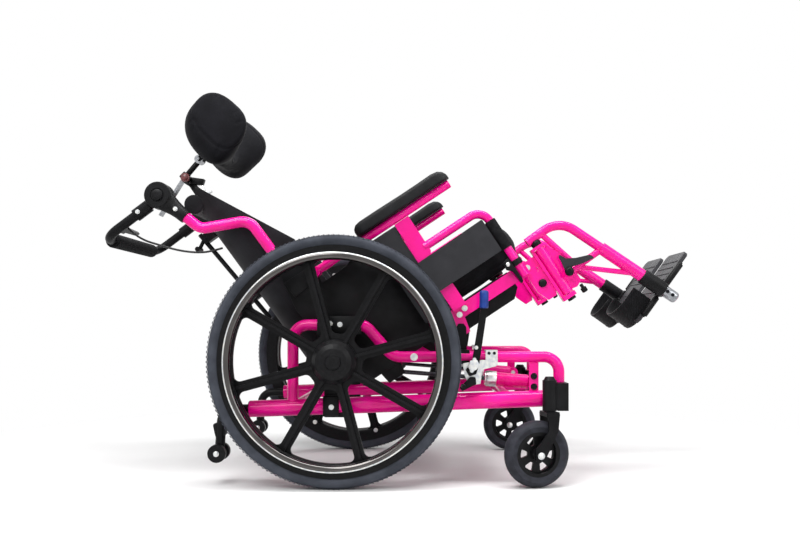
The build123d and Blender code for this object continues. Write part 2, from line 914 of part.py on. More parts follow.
with BuildPart() as handle_hubs:
    for side, out in sides:
        boss(side_plane(out * 198.5), handle_pivot, 62, 16)
        boss(side_plane(out * 191), handle_pivot, 12, 40)
        middle = side_plane(out * cane_y)
        bar(world(middle, *cane_point(38)), world(middle, *cane_point(-26)), 33)
        boss(side_plane(out * 181.5), handle_pivot, 64, 17.6, mode=Mode.SUBTRACT)
        bar(
            world(middle, *cane_point(0.5)),
            world(middle, *cane_point(-40)),
            cane_tube + 2 * fit,
            mode=Mode.SUBTRACT,
        )
        boss(side_plane(out * 184), handle_pivot, 12, 25)
handle_hubs.part.label = "handle_hubs"
export_step(handle_hubs.part, "parts/handle_hubs.step")

with BuildPart() as push_handle:
    tube(
        handle_plane,
        (
            (24, -handle_arm_y),
            (handle_reach, -handle_arm_y),
            (handle_reach, handle_arm_y),
            (24, handle_arm_y),
        ),
        36,
        hanger_tube,
    )
    for side, out in sides:
        boss(side_plane(out * handle_arm_y), handle_pivot, 62, 16)
        collar = [
            tuple(handle_plane.from_local_coords(Vector(reach, -out * handle_arm_y, 0)))
            for reach in (34, 74)
        ]
        bar(*collar, 30)
        boss(side_plane(out * handle_arm_y), handle_pivot, 12 + 2 * fit, 40, mode=Mode.SUBTRACT)
    with BuildSketch(handle_plane):
        with Locations((lug_reach + 2, -(handle_arm_y - 20))):
            Rectangle(18, 34)
    extrude(amount=6, both=True)
    with BuildSketch(handle_plane):
        with Locations((lug_reach, -(handle_arm_y - 29))):
            Rectangle(23, 24)
    extrude(amount=3.2, both=True, mode=Mode.SUBTRACT)
    with BuildSketch(handle_plane):
        with Locations((lug_reach, lever_pin_y)):
            Circle(3)
    extrude(amount=6, both=True)
push_handle.part.label = "push_handle"
export_step(push_handle.part, "parts/push_handle.step")

with BuildPart() as handle_grip:
    with BuildLine(handle_plane) as grip_line:
        Line((handle_reach, -138), (handle_reach, 138))
    bar(tuple(grip_line.line @ 0), tuple(grip_line.line @ 1), 35)
    fillet(handle_grip.edges(), 6)
    bar(
        tuple(grip_line.line @ 0),
        tuple(grip_line.line @ 1),
        hanger_tube + 2 * fit,
        mode=Mode.SUBTRACT,
    )
handle_grip.part.label = "handle_grip"
export_step(handle_grip.part, "parts/handle_grip.step")

with BuildPart() as release_trigger:
    with BuildSketch(handle_plane) as trigger_face:
        with BuildLine():
            Polyline(
                (114.5, -158),
                (126, -160),
                (129, -145),
                (128, -60),
                (118, -56),
                (114.5, -142),
                close=True,
            )
        make_face()
        fillet(trigger_face.vertices(), 3)
    extrude(amount=2.8, both=True)
    with BuildSketch(handle_plane):
        with Locations((lug_reach, lever_pin_y)):
            Circle(3 + fit)
    extrude(amount=8, both=True, mode=Mode.SUBTRACT)
release_trigger.part.label = "release_trigger"
export_step(release_trigger.part, "parts/release_trigger.step")

# ---- release cable: from the handle's lug to the back of the shell ----------------------
cable_y = -150.0
cable_diameter = 5.0
cable_route = (
    (-505.4, 596.8, -10.0),
    (-494.6, 584.5, -10.0),
    (-478.1, 571.4, -8.0),
    (-459.4, 561.6, -5.0),
    (-439.2, 555.6, -2.0),
    (-416.0, 548.5, -2.0),
    (-388.0, 541.0, -2.0),
    (-359.0, 536.5, 0.0),
    (-331.0, 535.5, 3.0),
    (-306.0, 540.0, 8.0),
    (-284.0, 547.5, 14.0),
)
cable_points = [Vector(axle_x + x, cable_y + y, z) for x, z, y in cable_route]
cable_radii = []
for before, here, after in zip(cable_points, cable_points[1:], cable_points[2:]):
    half_turn = radians((here - before).get_angle(after - here)) / 2
    shorter = min((here - before).length, (after - here).length)
    cable_radii.append(0.45 * shorter / tan(half_turn))
print("cable bend radii", [round(r, 1) for r in cable_radii])
with BuildPart() as release_cable:
    with BuildLine() as cable_line:
        FilletPolyline(*cable_points, radius=cable_radii)
    with BuildSketch(Plane(origin=cable_line.line @ 0, z_dir=cable_line.line % 0)):
        Circle(cable_diameter / 2)
    sweep(path=cable_line.line)
cable_length = sum(edge.length for edge in cable_line.line.edges())
cable_volume = pi / 4 * cable_diameter**2 * cable_length
print("cable length", round(cable_length, 1))
print("cable volume over section times length", release_cable.part.volume / cable_volume)
release_cable.part.label = "release_cable"
export_step(release_cable.part, "parts/release_cable.step")

# ---- headrest -------------------------------------------------------------------------
slide_low = (-478.0, 643.0)
slide_top = (-413.0, 746.0)
head_joint = (-377.0, 787.0)
slide_run = (slide_top[0] - slide_low[0], slide_top[1] - slide_low[1])
slide_length = hypot(*slide_run)
slide_way = (slide_run[0] / slide_length, slide_run[1] / slide_length)
slide_plane = Plane(
    origin=world(side_plane(0), *slide_low),
    x_dir=(0, 1, 0),
    z_dir=(slide_way[0], 0, slide_way[1]),
)
clamp_from = 82.0
clamp_length = 26.0
with BuildPart() as headrest_mount:
    with BuildSketch(slide_plane.offset(clamp_from)):
        Rectangle(40, 28)
        Rectangle(20.2, 6.2, mode=Mode.SUBTRACT)
    extrude(amount=clamp_length)
    with BuildSketch(back_plane(0)):
        with BuildLine():
            Polyline((-96, 500), (-92.1, 500), (-92.1, 566), (-96, 574), close=True)
        make_face()
    extrude(amount=34, both=True)
    plate(
        side_plane(0),
        ((-372, 645), (-354, 640), (-374, 690), (-404, 738), (-416, 728), (-396, 690)),
        7,
    )
    bar(world(side_plane(-19), -428, 726), world(side_plane(-34), -428, 726), 22)
headrest_mount.part.label = "headrest_mount"
export_step(headrest_mount.part, "parts/headrest_mount.step")

with BuildPart() as headrest_bar:
    with BuildSketch(slide_plane):
        Rectangle(20, 6)
    extrude(amount=slide_length)
    bar(world(side_plane(0), -416, 741), world(side_plane(0), *head_joint), 12)
    boss(side_plane(0), head_joint, 22, 26)
    boss(side_plane(0), head_joint, 8, 44)
headrest_bar.part.label = "headrest_bar"
export_step(headrest_bar.part, "parts/headrest_bar.step")

head_face = (0.70, 0.714)
head_centre = (-305.0, 830.0)
# slices across the pad: y, half depth, half height, middle forward of the pad's centre
head_slices = (
    (-128, 50, 70, 16),
    (-112, 73, 93, 11),
    (-84, 66, 94, -8),
    (-42, 34, 84, -32),
    (0, 26, 78, -39),
    (42, 34, 84, -32),
    (84, 66, 94, -8),
    (112, 73, 93, 11),
    (128, 50, 70, 16),
)
with BuildPart() as headrest_pad:
    for y, half_depth, half_height, forward in head_slices:
        slice_plane = Plane(
            origin=world(
                side_plane(y),
                head_centre[0] + head_face[0] * forward,
                head_centre[1] + head_face[1] * forward,
            ),
            x_dir=(head_face[0], 0, head_face[1]),
            z_dir=(0, -1, 0),
        )
        with BuildSketch(slice_plane):
            Ellipse(half_depth, half_height)
    loft()
    for shift in (-17, 17):
        plate(
            side_plane(shift),
            ((-388, 788), (-376, 775), (-336, 804), (-352, 824)),
            7,
        )
    boss(side_plane(0), head_joint, 26, 27, mode=Mode.SUBTRACT)
    boss(side_plane(0), head_joint, 8 + 2 * fit, 60, mode=Mode.SUBTRACT)
headrest_pad.part.label = "headrest_pad"
export_step(headrest_pad.part, "parts/headrest_pad.step")

# ---- swing-away hangers ----------------------------------------------------------------
hanger_top = (580.0, 53.0)
hanger_end = (706.0, -250.0)
hanger_run = (hanger_end[0] - hanger_top[0], hanger_end[1] - hanger_top[1])
hanger_length = hypot(*hanger_run)
foot_heel = (610.0, -252.0)
foot_way = (0.934, 0.357)
foot_length = 204.0
foot_hinge_y = 172.0


def down_tube(distance):
    """Point on the hanger's down tube, in u and v, from its top corner."""
    return (
        hanger_top[0] + hanger_run[0] / hanger_length * distance,
        hanger_top[1] + hanger_run[1] / hanger_length * distance,
    )


for side, out in sides:
    middle = seat_plane(out * hanger_y)
    with BuildPart() as hanger:
        tube(middle, ((488, 49), hanger_top, hanger_end), 62, hanger_tube)
        bar(world(middle, *down_tube(118)), world(middle, *down_tube(236)), 29)
        bar(world(middle, hanger_pin_u, -101), world(middle, hanger_pin_u, 22), 26)
        plate(
            middle,
            (
                (508, -96),
                (530, -100),
                (546, -92),
                (546, -40),
                (536, -4),
                (520, 16),
                (508, 18),
            ),
            8,
        )
        bar(world(middle, 528, 46), world(middle, 550, -38), 14)
        bar(world(middle, 538, -62), world(middle, *down_tube(121)), 16)
        bar(world(middle, 560, -66), world(middle, *down_tube(226)), 12)
        boss(seat_plane(out * 208), (530, -60), 12, 22)
        bar(
            world(middle, hanger_pin_u, -130),
            world(middle, hanger_pin_u, 34),
            10 + 2 * fit,
            mode=Mode.SUBTRACT,
        )
    hanger.part.label = f"hanger_{side}"
    export_step(hanger.part, f"parts/hanger_{side}.step")

    with BuildPart() as hanger_lever:
        lever_plane = seat_plane(out * 215.5)
        plate(
            lever_plane,
            (
                (522, -62),
                (528, -30),
                (528, -20),
                (533, -15),
                (540, -30),
                (560, -42),
                (592, -54),
                (596, -66),
                (560, -60),
                (542, -54),
                (538, -68),
            ),
            5,
            2,
        )
        boss(lever_plane, (530, -60), 12 + 2 * fit, 12, mode=Mode.SUBTRACT)
    hanger_lever.part.label = f"hanger_lever_{side}"
    export_step(hanger_lever.part, f"parts/hanger_lever_{side}.step")

    foot_plane = Plane(
        origin=world(seat_plane(0), *foot_heel),
        x_dir=(
            foot_way[0] * seat_cos - foot_way[1] * seat_sin,
            0,
            foot_way[0] * seat_sin + foot_way[1] * seat_cos,
        ),
        z_dir=(0, -1, 0),
    )
    with BuildPart() as footplate_clamp:
        bar(
            world(middle, *down_tube(268)),
            world(middle, *down_tube(312)),
            36,
        )
        hinge_view = foot_plane.offset(-out * 173)
        plate(hinge_view, ((78, -8), (104, -8), (104, 8), (78, 8)), 20)
        bar(
            world(middle, *down_tube(260)),
            world(middle, *down_tube(340)),
            hanger_tube + 2 * fit,
            mode=Mode.SUBTRACT,
        )
        pin_view = foot_plane.offset(-out * foot_hinge_y)
        bar(world(pin_view, 16, 0), world(pin_view, 172, 0), 8)
    footplate_clamp.part.label = f"footplate_clamp_{side}"
    export_step(footplate_clamp.part, f"parts/footplate_clamp_{side}.step")

    with BuildPart() as footplate:
        plate_view = foot_plane.offset(-out * 92)
        plate(plate_view, ((0, -5), (foot_length, -5), (foot_length, 5), (0, 5)), 140)
        plate(
            foot_plane.offset(-out * 164),
            ((75, -6), (107, -6), (107, 6), (75, 6)),
            16,
            mode=Mode.SUBTRACT,
        )
        for start, stop in ((20, 72), (110, 168)):
            bar(world(pin_view, start, 0), world(pin_view, stop, 0), 15)
            plate(
                foot_plane.offset(-out * 164),
                ((start, -5), (stop, -5), (stop, 5), (start, 5)),
                12,
            )
        bar(
            world(pin_view, 10, 0),
            world(pin_view, 180, 0),
            8 + 2 * fit,
            mode=Mode.SUBTRACT,
        )
        band_plane = Plane(
            origin=world(foot_plane.offset(-out * 92), 0, 4),
            x_dir=foot_plane.x_dir,
            z_dir=foot_plane.y_dir,
        )
        with BuildSketch(band_plane):
            with BuildLine():
                Line((63, out * 62), (22, out * 62))
                ThreePointArc((22, out * 62), (-12, 0), (22, -out * 62))
                Line((22, -out * 62), (35, -out * 62))
                offset(amount=1.5)
            make_face()
        extrude(amount=58)
    footplate.part.label = f"footplate_{side}"
    export_step(footplate.part, f"parts/footplate_{side}.step")

with BuildPart() as hanger_pins:
    for side, out in sides:
        middle = seat_plane(out * hanger_y)
        bar(world(middle, hanger_pin_u, -118), world(middle, hanger_pin_u, 32), 10)
        bar(world(middle, hanger_pin_u, 29.6), world(middle, hanger_pin_u, 35), 24)
        bar(world(middle, hanger_pin_u, -119), world(middle, hanger_pin_u, -112.1), 20)
hanger_pins.part.label = "hanger_pins"
export_step(hanger_pins.part, "parts/hanger_pins.step")
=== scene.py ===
"""Looks of the tilt in space wheelchair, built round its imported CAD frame.

Metres, +X forward, +Y to the sitter's left, +Z up, floor at Z = 0. Points are written in
millimetres, in the same side views as the CAD: side() is forward of the rear axle and up,
seat() is along the tilted seat and square to it, back() is forward of the canes and up them.
"""

import bmesh
import bpy
from math import cos, hypot, pi, radians, sin
from mathutils import Matrix, Vector, noise


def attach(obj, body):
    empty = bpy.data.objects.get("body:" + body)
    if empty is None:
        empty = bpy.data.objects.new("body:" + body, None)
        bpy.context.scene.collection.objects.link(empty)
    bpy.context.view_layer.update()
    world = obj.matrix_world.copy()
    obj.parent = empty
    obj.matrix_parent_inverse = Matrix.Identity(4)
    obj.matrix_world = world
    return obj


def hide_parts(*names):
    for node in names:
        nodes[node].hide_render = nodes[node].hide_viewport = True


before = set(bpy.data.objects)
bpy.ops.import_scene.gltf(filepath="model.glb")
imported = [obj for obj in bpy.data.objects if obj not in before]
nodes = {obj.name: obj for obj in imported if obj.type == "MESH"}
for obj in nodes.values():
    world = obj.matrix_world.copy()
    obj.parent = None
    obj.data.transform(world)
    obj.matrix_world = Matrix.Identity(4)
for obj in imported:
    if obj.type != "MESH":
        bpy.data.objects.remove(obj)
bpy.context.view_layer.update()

# ---- places ----
AXLE_X = -130.8
CORNER = (57.0, 243.0)
TILT = radians(33.5)
SEAT_WAY = (cos(TILT), sin(TILT))
SEAT_UP = Vector((-sin(TILT), 0, cos(TILT)))
BACK_WAY = (0.808, 0.589)
SIDES = (("right", -1), ("left", 1))


def side(x, z, y):
    """Point from a side view: forward of the rear axle, height, and sideways."""
    return Vector((AXLE_X + x, y, z)) / 1000


def turned_view(corner, way, a, b):
    """Place in a view of what lies a along a tilted way from a corner, and b square to it."""
    return corner[0] + way[0] * a - way[1] * b, corner[1] + way[1] * a + way[0] * b


def seat(u, v, y):
    """Point from the tilted seat's view."""
    return side(*turned_view(CORNER, SEAT_WAY, u, v), y)


def back(p, q, y):
    """Point from the back's view: forward of the canes and up them."""
    return side(*turned_view(CORNER, BACK_WAY, p, q), y)


def new_object(name, data):
    """Object of that name and data, in the scene."""
    made = bpy.data.objects.new(name, data)
    bpy.context.scene.collection.objects.link(made)
    return made


# ---- camera ----
camera_data = bpy.data.cameras.new("camera")
camera_data.lens = 35.24
camera_data.sensor_width = 36
camera_data.shift_x = -0.0256
camera_data.shift_y = 0.0719
camera = new_object("camera", camera_data)
camera.location = side(190.6, 365, -2016)
camera.rotation_euler = (radians(90), 0, 0)
bpy.context.scene.camera = camera

# ---- release cable ----
# forward of the rear axle, height, and sideways from the cable's plane
CABLE_ROUTE = (
    (-505.4, 596.8, -10.0), (-494.6, 584.5, -10.0), (-478.1, 571.4, -8.0), (-459.4, 561.6, -5.0),
    (-439.2, 555.6, -2.0), (-416.0, 548.5, -2.0), (-388.0, 541.0, -2.0), (-359.0, 536.5, 0.0),
    (-331.0, 535.5, 3.0), (-306.0, 540.0, 8.0), (-284.0, 547.5, 14.0),
)
CABLE_Y = -150
cable_points = [side(x, z, CABLE_Y + y) for x, z, y in CABLE_ROUTE]
cable_curve = bpy.data.curves.new("release_cable_line", "CURVE")
cable_curve.dimensions = "3D"
cable_curve.bevel_depth = 0.0025
cable_curve.bevel_resolution = 4
cable_curve.resolution_u = 10
cable_curve.use_fill_caps = True
cable_spline = cable_curve.splines.new("NURBS")
cable_spline.points.add(len(cable_points) - 1)
for spot, place in zip(cable_spline.points, cable_points):
    spot.co = (*place, 1)
cable_spline.order_u = 3
cable_spline.use_endpoint_u = True
release_cable = new_object("release_cable_jacket", cable_curve)


# ---- materials ----
def linear(hex_colour):
    """sRGB hex to a linear colour."""
    parts = [int(hex_colour[i : i + 2], 16) / 255 for i in (1, 3, 5)]
    return [c / 12.92 if c <= 0.04045 else ((c + 0.055) / 1.055) ** 2.4 for c in parts] + [1.0]


def add(tree, kind, links=(), **settings):
    """Adds a node; links are (input, output socket) and settings are sockets or properties."""
    node = tree.nodes.new(kind)
    for key, value in settings.items():
        if key.title() in node.inputs:
            node.inputs[key.title()].default_value = value
        else:
            setattr(node, key, value)
    for target, source in links:
        tree.links.new(source, node.inputs[target])
    return node


SHADER_INPUTS = {
    "metal": "Metallic",
    "ior": "IOR",
    "glint": "Specular IOR Level",
    "lacquer": "Coat Weight",
    "lacquer_rough": "Coat Roughness",
    "fuzz": "Sheen Weight",
    "fuzz_rough": "Sheen Roughness",
}
CLOUD_EDGES = (0.35, 0.65)
GRAIN_EDGES = (0.3, 0.7)
# share of the colour left in a pattern's deepest hollows: painted shade
DEEPEST_SHADE = 0.55


def make_finish(
    name, dark, light, clouds, shine, grain, relief, pattern=None, turned=(1, 1, 1), **inputs
):
    """A skin, cloudy between two colours, with a range of roughness and a raised grain.

    clouds and grain are the sizes of the patches and of the grain in mm, shine is the
    roughness from smoothest to dullest, and relief is how many mm the grain stands up.
    pattern gives another relief and paints shade into its hollows, turned stretches it along an axis,
    and inputs sets others.
    """
    material = bpy.data.materials.new(name)
    material.use_nodes = True
    material.diffuse_color = linear(light)
    tree = material.node_tree
    shader = tree.nodes["Principled BSDF"]
    for words, value in inputs.items():
        shader.inputs[SHADER_INPUTS[words]].default_value = value
    coords = add(tree, "ShaderNodeTexCoord")
    place = add(tree, "ShaderNodeMapping", [("Vector", coords.outputs["Object"])])
    place.inputs["Scale"].default_value = [1000 / t for t in turned]
    where = [("Vector", place.outputs["Vector"])]
    patches = add(tree, "ShaderNodeTexNoise", where, scale=1 / clouds, detail=4.0)
    fine = add(tree, "ShaderNodeTexNoise", where, scale=1 / grain, detail=3.0, roughness=0.6)
    tone = add(tree, "ShaderNodeValToRGB", [("Fac", patches.outputs["Fac"])])
    for stop, edge, colour in zip(tone.color_ramp.elements, CLOUD_EDGES, (dark, light)):
        stop.position = edge
        stop.color = linear(colour)
    colour, height = tone.outputs["Color"], fine.outputs["Fac"]
    if pattern:
        height = pattern(tree, where)
        # painted shade: the colour darkens towards DEEPEST_SHADE in the pattern's hollows
        hollow_painted_shade = add(tree, "ShaderNodeVectorMath", [("Vector", colour)], operation="SCALE")
        share = add(tree, "ShaderNodeMapRange", [("Value", height)])
        share.inputs["To Min"].default_value = DEEPEST_SHADE
        tree.links.new(share.outputs["Result"], hollow_painted_shade.inputs["Scale"])
        colour = hollow_painted_shade.outputs["Vector"]
    tree.links.new(colour, shader.inputs["Base Color"])
    dull = add(tree, "ShaderNodeMapRange", [("Value", fine.outputs["Fac"])])
    dull.inputs["From Min"].default_value, dull.inputs["From Max"].default_value = GRAIN_EDGES
    dull.inputs["To Min"].default_value, dull.inputs["To Max"].default_value = shine
    tree.links.new(dull.outputs["Result"], shader.inputs["Roughness"])
    raised = add(tree, "ShaderNodeBump", [("Height", height)], distance=relief / 1000)
    tree.links.new(raised.outputs["Normal"], shader.inputs["Normal"])
    return material


def knit_cells(pitch):
    """Open cells of a spacer knit, that many mm from one to the next."""

    def cells(tree, where):
        knit = add(tree, "ShaderNodeTexVoronoi", where, scale=1 / pitch)
        knit.inputs["Randomness"].default_value = 0.35
        return knit.outputs["Distance"]

    return cells


def leather_grain(tree, where):
    """Skin cells of moulded foam, 2.6 mm across."""
    skin = add(tree, "ShaderNodeTexVoronoi", where, scale=1 / 2.6, feature="DISTANCE_TO_EDGE")
    return skin.outputs["Distance"]


def strap_ribs(tree, where):
    """Warp ribs of a woven strap, drawn 6 mm apart, wider than the real ones, to show."""
    return add(tree, "ShaderNodeTexWave", where, scale=1 / 19, distortion=0.4).outputs["Fac"]


# Powder coated steel tube: hot pink, glossy, with the soft orange peel of baked powder.
pink_powder_coat = make_finish(
    "pink_powder_coat", "#E20680", "#EF0F90", 60, (0.2, 0.34), 2.2, 0.04,
    glint=0.06, lacquer=0.45, lacquer_rough=0.06,
)
# Moulded ABS sleeve of the gas strut, the same pink with a smoother skin.
pink_sleeve = make_finish(
    "pink_moulded_sleeve", "#E40A82", "#F01490", 30, (0.22, 0.36), 5, 0.03, ior=1.53, glint=0.2
)
# Powder coated steel fittings: satin black with a fine pimpled skin.
black_powder_coat = make_finish(
    "black_powder_coat", "#09090B", "#121214", 25, (0.3, 0.46), 1.2, 0.06, glint=0.12
)
# Solid rubber tyre: matt grey, slightly dusty.
grey_tyre = make_finish(
    "grey_tyre_rubber", "#383B42", "#44474F", 35, (0.66, 0.88), 1.4, 0.12, glint=0.1
)
# Caster tyre: cast polyurethane, a shade darker and smoother than the rear tyres.
caster_rubber = make_finish(
    "cast_polyurethane", "#25262B", "#303138", 18, (0.5, 0.68), 1.8, 0.08, glint=0.12
)
# Hand ring aluminium, polished under a clear seal, with faint turning marks; its base colour is painted
# dark to stand in for the dark reflections that a polished ring shows.
hand_ring_aluminium = make_finish(
    "ring_metal_painted_dark_reflection", "#3B3837", "#4A4644", 40, (0.08, 0.18), 1.5, 0.008,
    turned=(1, 0.2, 1), metal=1.0, lacquer=1.0, lacquer_rough=0.04,
)
# Glass filled nylon of the mag wheels and casters: near black, softly shining, fine speckle.
filled_nylon = make_finish(
    "glass_filled_nylon", "#0A0A0B", "#131315", 6, (0.3, 0.46), 0.9, 0.05, ior=1.53, glint=0.12
)
# Zinc plated steel: pale, slightly blue, cloudy passivation.
zinc_plate = make_finish(
    "zinc_plated_steel", "#C4C8CE", "#E6E6E0", 9, (0.26, 0.48), 0.8, 0.02, metal=1.0
)
# Turned stainless steel of the headrest bar and the hanger's telescopic end.
bright_steel = make_finish(
    "turned_stainless_steel", "#85878B", "#A2A4A8", 12, (0.2, 0.34), 1.2, 0.01,
    turned=(1, 1, 0.3), metal=1.0,
)
# Blue dipped vinyl grip: soft skin that shines a little.
blue_vinyl = make_finish(
    "blue_dipped_vinyl", "#0D2A6E", "#153785", 14, (0.28, 0.46), 3, 0.1, ior=1.53, glint=0.3
)
# Spacer knit on the seat and back cushions: its 2 mm cells are drawn at 3 mm to show.
black_knit = make_finish(
    "black_spacer_knit", "#101012", "#1A1A1E", 45, (0.75, 0.95), 2, 0.3,
    pattern=knit_cells(3.0), glint=0.08, fuzz=0.08, fuzz_rough=0.5,
)
# Stretch knit of the headrest: smooth and black, 2 mm loops.
stretch_knit = make_finish(
    "black_stretch_knit", "#0E0E12", "#16161B", 60, (0.6, 0.8), 2, 0.12,
    pattern=knit_cells(2.2), glint=0.08, fuzz=0.05, fuzz_rough=0.5,
)
# Charcoal knit on the outside of the back shell.
charcoal_knit = make_finish(
    "charcoal_stretch_knit", "#17171A", "#232327", 50, (0.7, 0.9), 2, 0.2,
    pattern=knit_cells(2.4), glint=0.1, fuzz=0.15, fuzz_rough=0.5,
)
# Integral skin polyurethane arm pad: soft black skin with a leather grain.
skinned_foam = make_finish(
    "integral_skin_foam", "#121315", "#1C1D20", 20, (0.42, 0.6), 2, 0.12,
    pattern=leather_grain, glint=0.2,
)
# Closed cell foam grips and sleeves: dull black, pitted.
closed_cell_foam = make_finish(
    "closed_cell_foam", "#0D0D0F", "#1A1A1C", 10, (0.8, 0.95), 1.6, 0.25, glint=0.12
)
# Side guard: charcoal ABS, spark-eroded skin.
guard_abs = make_finish(
    "charcoal_textured_abs", "#1C1C20", "#26262A", 50, (0.42, 0.62), 1.0, 0.09, ior=1.53, glint=0.25
)
# Footplate: dark grey glass filled nylon.
foot_nylon = make_finish(
    "grey_footplate_nylon", "#29292C", "#37373A", 22, (0.42, 0.62), 1.1, 0.1, ior=1.53, glint=0.15
)
# Black moulded polypropylene of pan, hubs and housings: low sheen.
moulded_black = make_finish(
    "moulded_polypropylene", "#0A0A0B", "#131315", 28, (0.34, 0.52), 1.0, 0.06, ior=1.49, glint=0.14
)
# Nitrided piston rod: dark satin steel, turned.
piston_steel = make_finish(
    "nitrided_piston_steel", "#38393C", "#47484C", 12, (0.2, 0.36), 1.0, 0.01,
    turned=(0.2, 1, 1), metal=1.0,
)
# Extruded cable jacket: black, slightly glossy vinyl.
cable_vinyl = make_finish(
    "extruded_cable_vinyl", "#0C0C0E", "#141416", 12, (0.26, 0.44), 2, 0.03, ior=1.53, glint=0.35
)
# Woven polypropylene strap of the heel loops.
webbing = make_finish(
    "woven_polypropylene_strap", "#0B0B0D", "#151518", 15, (0.7, 0.85), 1.5, 0.25,
    pattern=strap_ribs, glint=0.12, fuzz=0.1, fuzz_rough=0.5,
)
# Blackened steel screws.
black_steel = make_finish(
    "blackened_screw_steel", "#1C1C1F", "#29292D", 4, (0.26, 0.46), 0.7, 0.02, metal=1.0
)
# Maroon phenolic knob of the headrest clamp.
knob_phenolic = make_finish(
    "maroon_phenolic", "#4E1A1E", "#6E2A2C", 6, (0.28, 0.44), 4, 0.02, ior=1.6
)

# CAD nodes by the start of their names, under the finish that they wear
FINISH_NODES = {
    pink_powder_coat: (
        "base_frame base_cross_tubes seat_frame arm_posts "
        "arm_tube back_canes hanger_right hanger_left"
    ),
    black_powder_coat: (
        "axle_mounts anti_tip_tubes caster_fork lock_lever lock_shoe "
        "tilt_brackets accessory_bar push_handle release_trigger headrest_mount footplate_clamp"
    ),
    filled_nylon: "anti_tip_wheel mag_wheel caster_wheel",
    grey_tyre: "tyre",
    hand_ring_aluminium: "handrim",
    moulded_black: "caster_housings seat_pan handle_hubs hanger_pins",
    caster_rubber: "caster_tyre",
    zinc_plate: "lock_mounts",
    blue_vinyl: "lock_grip",
    pink_sleeve: "strut_tubes",
    piston_steel: "strut_rods",
    guard_abs: "skirt_guards hanger_lever",
    skinned_foam: "arm_pad",
    charcoal_knit: "back_shell",
    closed_cell_foam: "handle_grip",
    bright_steel: "headrest_bar",
    foot_nylon: "footplate",
    cable_vinyl: "release_cable",
    black_knit: "seat_cushion back_cushion",
    stretch_knit: "headrest_pad",
}
NODE_FINISH = {start: finish for finish, starts in FINISH_NODES.items() for start in starts.split()}
for name, node in nodes.items():
    match = max((key for key in NODE_FINISH if name.startswith(key)), key=len)
    node.data.materials.clear()
    node.data.materials.append(NODE_FINISH[match])

release_cable.data.materials.append(cable_vinyl)
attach(release_cable, "seat")
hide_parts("release_cable")

# ---- mesh tools ----
def link(name, mesh, material, body, stands_for=()):
    """Object at the origin that rides on a body and the CAD nodes it stands for."""
    mesh.name = name
    mesh.materials.clear()
    mesh.materials.append(material)
    piece = new_object(name, mesh)
    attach(piece, body)
    if stands_for:
        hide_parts(*stands_for)
    return piece


def plain(piece):
    """Applies a piece's modifiers and returns the plain mesh."""
    graph = bpy.context.evaluated_depsgraph_get()
    mesh = bpy.data.meshes.new_from_object(piece.evaluated_get(graph))
    bpy.data.objects.remove(piece)
    return mesh


BEVEL_FROM = radians(28)


class Maker:
    """Collects the shapes of one rigid piece, in metres, and finishes them as one mesh."""

    def __init__(self):
        self.bm = bmesh.new()

    def rings(self, rings, closed=False):
        """Skin over rings of points, capped at both ends unless it closes on itself."""
        made = [[self.bm.verts.new(p) for p in ring] for ring in rings]
        corners = [] if closed else [made[0], made[-1]]
        for low, high in zip(made, made[1:] + made[:1] if closed else made[1:]):
            for i in range(len(low)):
                j = (i + 1) % len(low)
                corners.append((low[i], low[j], high[j], high[i]))
        new = [self.bm.faces.new(face) for face in corners]
        bmesh.ops.recalc_face_normals(self.bm, faces=new)

    def slab(self, outline, way, thickness):
        """Flat plate: outline's points, carried half the thickness (mm) to each side."""
        step = Vector(way).normalized() * thickness / 2000
        self.rings([[p - step for p in outline], [p + step for p in outline]])

    def plate(self, view, outline, y, thickness):
        """Slab that stands along the chair: its outline in a view, and its middle's y."""
        way = (0, -1 if y < 0 else 1, 0)
        self.slab([view(a, b, y) for a, b in outline], way, thickness)

    def lathe(self, centre, axis, profile, segments=48, closed=False):
        """Turned shape: profile is (mm along the axis, mm from it), from end to end or a loop."""
        axis = Vector(axis).normalized()
        across = axis.orthogonal().normalized()
        over = axis.cross(across)
        turned = []
        for n in range(segments):
            turn = 2 * pi * n / segments
            out = across * cos(turn) + over * sin(turn)
            turned.append([centre + axis * (a / 1000) + out * (r / 1000) for a, r in profile])
        self.rings(turned if closed else list(zip(*turned)), closed)

    def rod(self, start, end, radius, segments=32, chamfer=0.0):
        """Round bar between two points, radius and chamfer in mm."""
        way = end - start
        long = way.length * 1000
        profile = [(0, radius), (long, radius)]
        if chamfer:
            edge = chamfer * 0.3
            profile = [(0, radius - chamfer), (edge, radius - edge), (chamfer, radius)]
            profile += [(long - a, r) for a, r in reversed(profile)]
        self.lathe(start, way, profile, segments)

    def hose(self, points, radius, segments, steps):
        """Round bar along a smooth line through the points."""
        line = smooth_line(points, steps)
        rings = []
        way = (line[1] - line[0]).normalized()
        up = Vector((0, 1, 0)) if abs(way.y) < 0.9 else Vector((0, 0, 1))
        for i, spot in enumerate(line):
            way = (line[min(i + 1, len(line) - 1)] - line[max(i - 1, 0)]).normalized()
            up = (up - way * up.dot(way)).normalized()
            over = way.cross(up)
            ring = []
            for n in range(segments):
                turn = 2 * pi * n / segments
                ring.append(spot + (up * cos(turn) + over * sin(turn)) * (radius / 1000))
            rings.append(ring)
        self.rings(rings)

    def done(
        self, name, material, body, slot=None, stands_for=(), bevel=0.0, angle=32, round_off=2
    ):
        """Finishes the piece, with its edges rounded by so many mm."""
        mesh = bpy.data.meshes.new(name)
        self.bm.to_mesh(mesh)
        self.bm.free()
        if bevel:
            holder = new_object(name + "_raw", mesh)
            edge = holder.modifiers.new("rounded edges", "BEVEL")
            edge.width = bevel / 1000
            edge.segments = round_off
            edge.limit_method = "ANGLE"
            edge.angle_limit = BEVEL_FROM
            edge.use_clamp_overlap = True
            mesh = plain(holder)
        mesh.shade_smooth()
        mesh.set_sharp_from_angle(angle=radians(angle))
        return link(name, mesh, material, body, stands_for)


